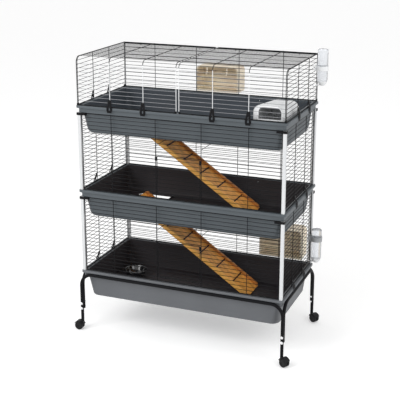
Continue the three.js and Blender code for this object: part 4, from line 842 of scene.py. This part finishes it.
# For each bottle: its tier, the plane of the wires, its foot over the rim and its holder over its foot.
for tier, plane, foot, band in ((1, POST_AT[0], 30.0, 128.0), (3, TOP_PLANE[0], 100.0, 81.0)):
    rim, body = RIMS[tier - 1], f"bottle_tier{tier}"
    at = (*BOTTLE_AT, rim + foot)
    bottle = eased([(0.01, 24), (27, 24), (27, 26), (BOTTLE, 29), (BOTTLE, 188), (BOTTLE, 194), (24, 199),
                    (10, 199), (0.01, 199)], [0, 1, 1, 3, 3, 3, 3])
    piece(f"bottle_tier{tier}_body", Skins().revolve(bottle, at, sides=48), clear, body,
          [f"water_bottle_tier{tier}"])
    cap = eased([(0.01, 0), (12.6, 0), (18, 5), (27, 21), (27, 25), (0.01, 25)], [2, 3, 2, 1])
    piece(f"bottle_tier{tier}_cap", Skins().revolve(cap, at, sides=48), white, body)
    levels = wall_levels if tier == 1 else top_levels
    crossing = levels[levels < foot - SPOUT - WIRE][-1] + WIRE + SPOUT_REST + SPOUT - foot
    start, through = np.array((-9.0, 0, 5.0)), np.array((plane - BOTTLE_AT[0], 0, crossing))
    tip = through + (through - start) / np.linalg.norm(through - start) * SPOUT_INSIDE
    spout = Skins().wires(start + at, tip + at, SPOUT, 20)
    piece(f"bottle_tier{tier}_spout", spout, steel, body)

    holder = Skins()
    z0, z1 = at[2] + band, at[2] + band + HOLDER_BAND
    inner, outer = BOTTLE + CLEAR, BOTTLE + HOLDER_WALL + CLEAR
    hoop = np.array([(outer, z0), (outer, z1), (inner, z1), (inner, z0)])
    t = np.arange(48) * 2 * pi / 48
    u, v = hoop[:, :1] * np.cos(t), hoop[:, :1] * np.sin(t)
    holder.rings(spread(u + BOTTLE_AT[0], v + BOTTLE_AT[1], hoop[:, 1:]), closed=True)
    y = BOTTLE_AT[1]
    holder.block((plane - WIRE, y - HOLDER_HALF, z0), (plane - WIRE + 2 * HOLDER_WALL, y + HOLDER_HALF, z1))
    holder.block((plane, y - HOLDER_HALF / 2, z0), (BOTTLE_AT[0] - BOTTLE - 1, y + HOLDER_HALF / 2, z1))
    plastic = holder_grey if tier == 1 else white
    piece(f"bottle_tier{tier}_holder", holder, plastic, bevel=0.7)

pan_floor = RIMS[2] - FLOOR_DROP + CLEAR
grow, height = eased([(-40, 0), (-40, 0.01), (-3, LITTER_PAN - 3), (0, LITTER_PAN - 3), (0, LITTER_PAN),
                       (-6, LITTER_PAN), (-43, 3)],
                     [0, 1, 0.8, 0.8, 1.5]).T
pan_y = np.interp(grow, (-43, -40, -3, 0), (-39, -36, -3, 0))
pan = plan(LITTER_HALF[0] + grow, LITTER_HALF[1] + pan_y, PAN_ROUND + np.clip(grow, -3, 0),
           pan_floor + height, LITTER_AT)
piece("litter_pan_shell", Skins().rings(pan), white, stands_for=["litter_pan"])

# The hood's lower edge, then y and the crown's height at its front and back ends.
HOOD_LOW = pan_floor + LITTER_PAN + CLEAR
HOOD_ENDS = ((-258.0, RIMS[2] + 76), (32.0, RIMS[2] + 48))


def hood_side(inset, top):
    """Half-way round the hood from its right foot over the top to its left foot, as (x, z)."""
    half, corner = LITTER_HALF[0] - inset, HOOD_ROUND - inset
    right = arc((half - corner, top - inset - corner), corner, 0, 90, 10)
    line = np.concatenate([[(half, HOOD_LOW)], right, right[::-1] * (-1, 1), [(-half, HOOD_LOW)]])
    return line + (LITTER_AT[0], 0)


shell = Skins()
bands = [np.concatenate([hood_side(0, top), hood_side(HOOD_WALL, top)[::-1]]) for y, top in HOOD_ENDS]
shell.rings([spread(band[:, 0], y, band[:, 1]) for band, (y, top) in zip(bands, HOOD_ENDS)])
back, rear = HOOD_ENDS[1]
shell.extrude(hood_side(0.5, rear), back - HOOD_WALL, back, "y")
piece("litter_hood_shell", shell, white, "litter_hood", ["litter_hood"], bevel=1.0)
front, crown = HOOD_ENDS[0]
face = Skins().extrude(hood_side(0.5, crown), front, front + HOOD_WALL, "y")
face = piece("litter_hood_front", face, white, "litter_hood")
left, right, sill, head, corner = 430.0, 551.0, RIMS[2] + 4, crown - 11, 26.0
arch = np.concatenate([[(left, sill), (right, sill)], arc((right - corner, head - corner), corner, 0, 90, 10),
                       arc((left + corner, head - corner), corner, 90, 180, 10)])
pierced(face, Skins().extrude(arch, front - 5, front + 9, "y"))

# ------------------------ wall boxes

def box_section(height, inset, y, centre):
    """The box's front view at one depth: square below, its two upper corners rounded, as points (x, y, z)."""
    half, corner = BOX_HALF - inset, BOX_ROUND - inset
    line = np.concatenate([[(-half, inset), (half, inset)],
                           arc((half - corner, height - inset - corner), corner, 0, 90, 8),
                           arc((corner - half, height - inset - corner), corner, 90, 180, 8)])
    return spread(line[:, 0] + centre, y, line[:, 1])


# For each box: its tier, height and middle, then the place and the close wires of the wall it hangs on.
for tier, height, centre, y, levels in ((1, 176.0, 398.0, POST_AT[1] + BAR_REACH, wall_levels),
                                        (3, 148.0, -5.0, TOP_PLANE[1] + BAR_REACH, back_levels)):
    rim, body = RIMS[tier - 1], f"box_tier{tier}"
    low = rim + BOX_FOOT
    sections = (BOX_WALL, BOX_DEPTH - BOX_WALL), (BOX_WALL, 0), (0, 0), (0, BOX_DEPTH)
    made = Skins().rings([box_section(height, inset, y + depth, centre) for inset, depth in sections])
    piece(f"{body}_boards", made.placed(0, (0, 0, low)), board, body, [f"wall_box_tier{tier}"],
          bevel=0.8)
    hook = levels[levels < BOX_FOOT + height - BOX_ROUND][-1] + WIRE + CLEAR + rim
    hooks = Skins()
    for x in (centre - HOOKS_AT, centre + HOOKS_AT):
        left, right, tip = x - HOOK_HALF, x + HOOK_HALF, y - HOOK_REACH
        hooks.block((left, y, hook), (right, y + HOOK_WALL, low + height - 4))
        hooks.block((left, tip, hook), (right, y + HOOK_WALL, hook + HOOK_WALL))
        hooks.block((left, tip, hook - HOOK_LIP), (right, tip + 2, hook + HOOK_WALL))
    piece(f"{body}_hooks", hooks, board, body, bevel=0.6)

# ------------------------ studio

def seen_white(tree, shader_out, strength, output):
    """Adds white light of the given strength for camera, glossy and transmission rays only."""
    path, glow = tree.nodes.new("ShaderNodeLightPath"), tree.nodes.new("ShaderNodeEmission")
    seen = path.outputs["Is Camera Ray"]
    for kind in ("Is Glossy Ray", "Is Transmission Ray"):
        either = tree.nodes.new("ShaderNodeMath")
        either.operation = "MAXIMUM"
        tree.links.new(seen, either.inputs[0])
        tree.links.new(path.outputs[kind], either.inputs[1])
        seen = either.outputs["Value"]
    lift = tree.nodes.new("ShaderNodeMath")
    lift.operation = "MULTIPLY"
    lift.inputs[1].default_value = strength
    tree.links.new(seen, lift.inputs[0])
    tree.links.new(lift.outputs["Value"], glow.inputs["Strength"])
    both = tree.nodes.new("ShaderNodeAddShader")
    tree.links.new(shader_out, both.inputs[0])
    tree.links.new(glow.outputs["Emission"], both.inputs[1])
    tree.links.new(both.outputs["Shader"], output.inputs["Surface"])


bpy.context.scene.view_settings.view_transform = "Standard"
WORLD_LIGHT, FLOOR_COLOUR, FLOOR_LIFT = 0.75, 0.92, 0.26
FLOOR_HALF, FLOOR_LEVEL = 20.0, -0.0005  # in metres

floor = bpy.data.meshes.new("floor")
corners = [(x * FLOOR_HALF, y * FLOOR_HALF, FLOOR_LEVEL) for x, y in ((-1, -1), (1, -1), (1, 1), (-1, 1))]
floor.from_pydata(corners, [], [(0, 1, 2, 3)])
floor_object = bpy.data.objects.new("floor", floor)
paper = finish("floor_paper", (FLOOR_COLOUR,) * 3, 0.9, variation=0.004, bump=0.0)
tree = paper.node_tree
seen_white(tree, tree.nodes["Principled BSDF"].outputs["BSDF"], FLOOR_LIFT, tree.nodes["Material Output"])
floor.materials.append(paper)
bpy.context.scene.collection.objects.link(floor_object)

world = bpy.data.worlds.new("studio")
bpy.context.scene.world = world
world.use_nodes = True
sky = world.node_tree.nodes["Background"]
sky.inputs["Color"].default_value = (1, 1, 1, 1)
sky.inputs["Strength"].default_value = WORLD_LIGHT
seen_white(world.node_tree, sky.outputs["Background"], 1 - WORLD_LIGHT, world.node_tree.nodes["World Output"])


def softbox(name, place, aim, size, power):
    """A square soft lamp at a place in metres, its face square to the line from there to what it aims at."""
    lamp = bpy.data.lights.new(name, "AREA")
    lamp.shape, lamp.size, lamp.energy = "SQUARE", size, power
    obj = bpy.data.objects.new(name, lamp)
    obj.location = place
    obj.rotation_euler = (Vector(aim) - Vector(place)).to_track_quat("-Z", "Y").to_euler()
    bpy.context.scene.collection.objects.link(obj)


softbox("key", (-2.2, -3.6, 3.4), (0, 0, 0.8), 2.5, 110)
softbox("fill", (3.5, -2.0, 2.5), (0, 0, 0.8), 2.5, 50)
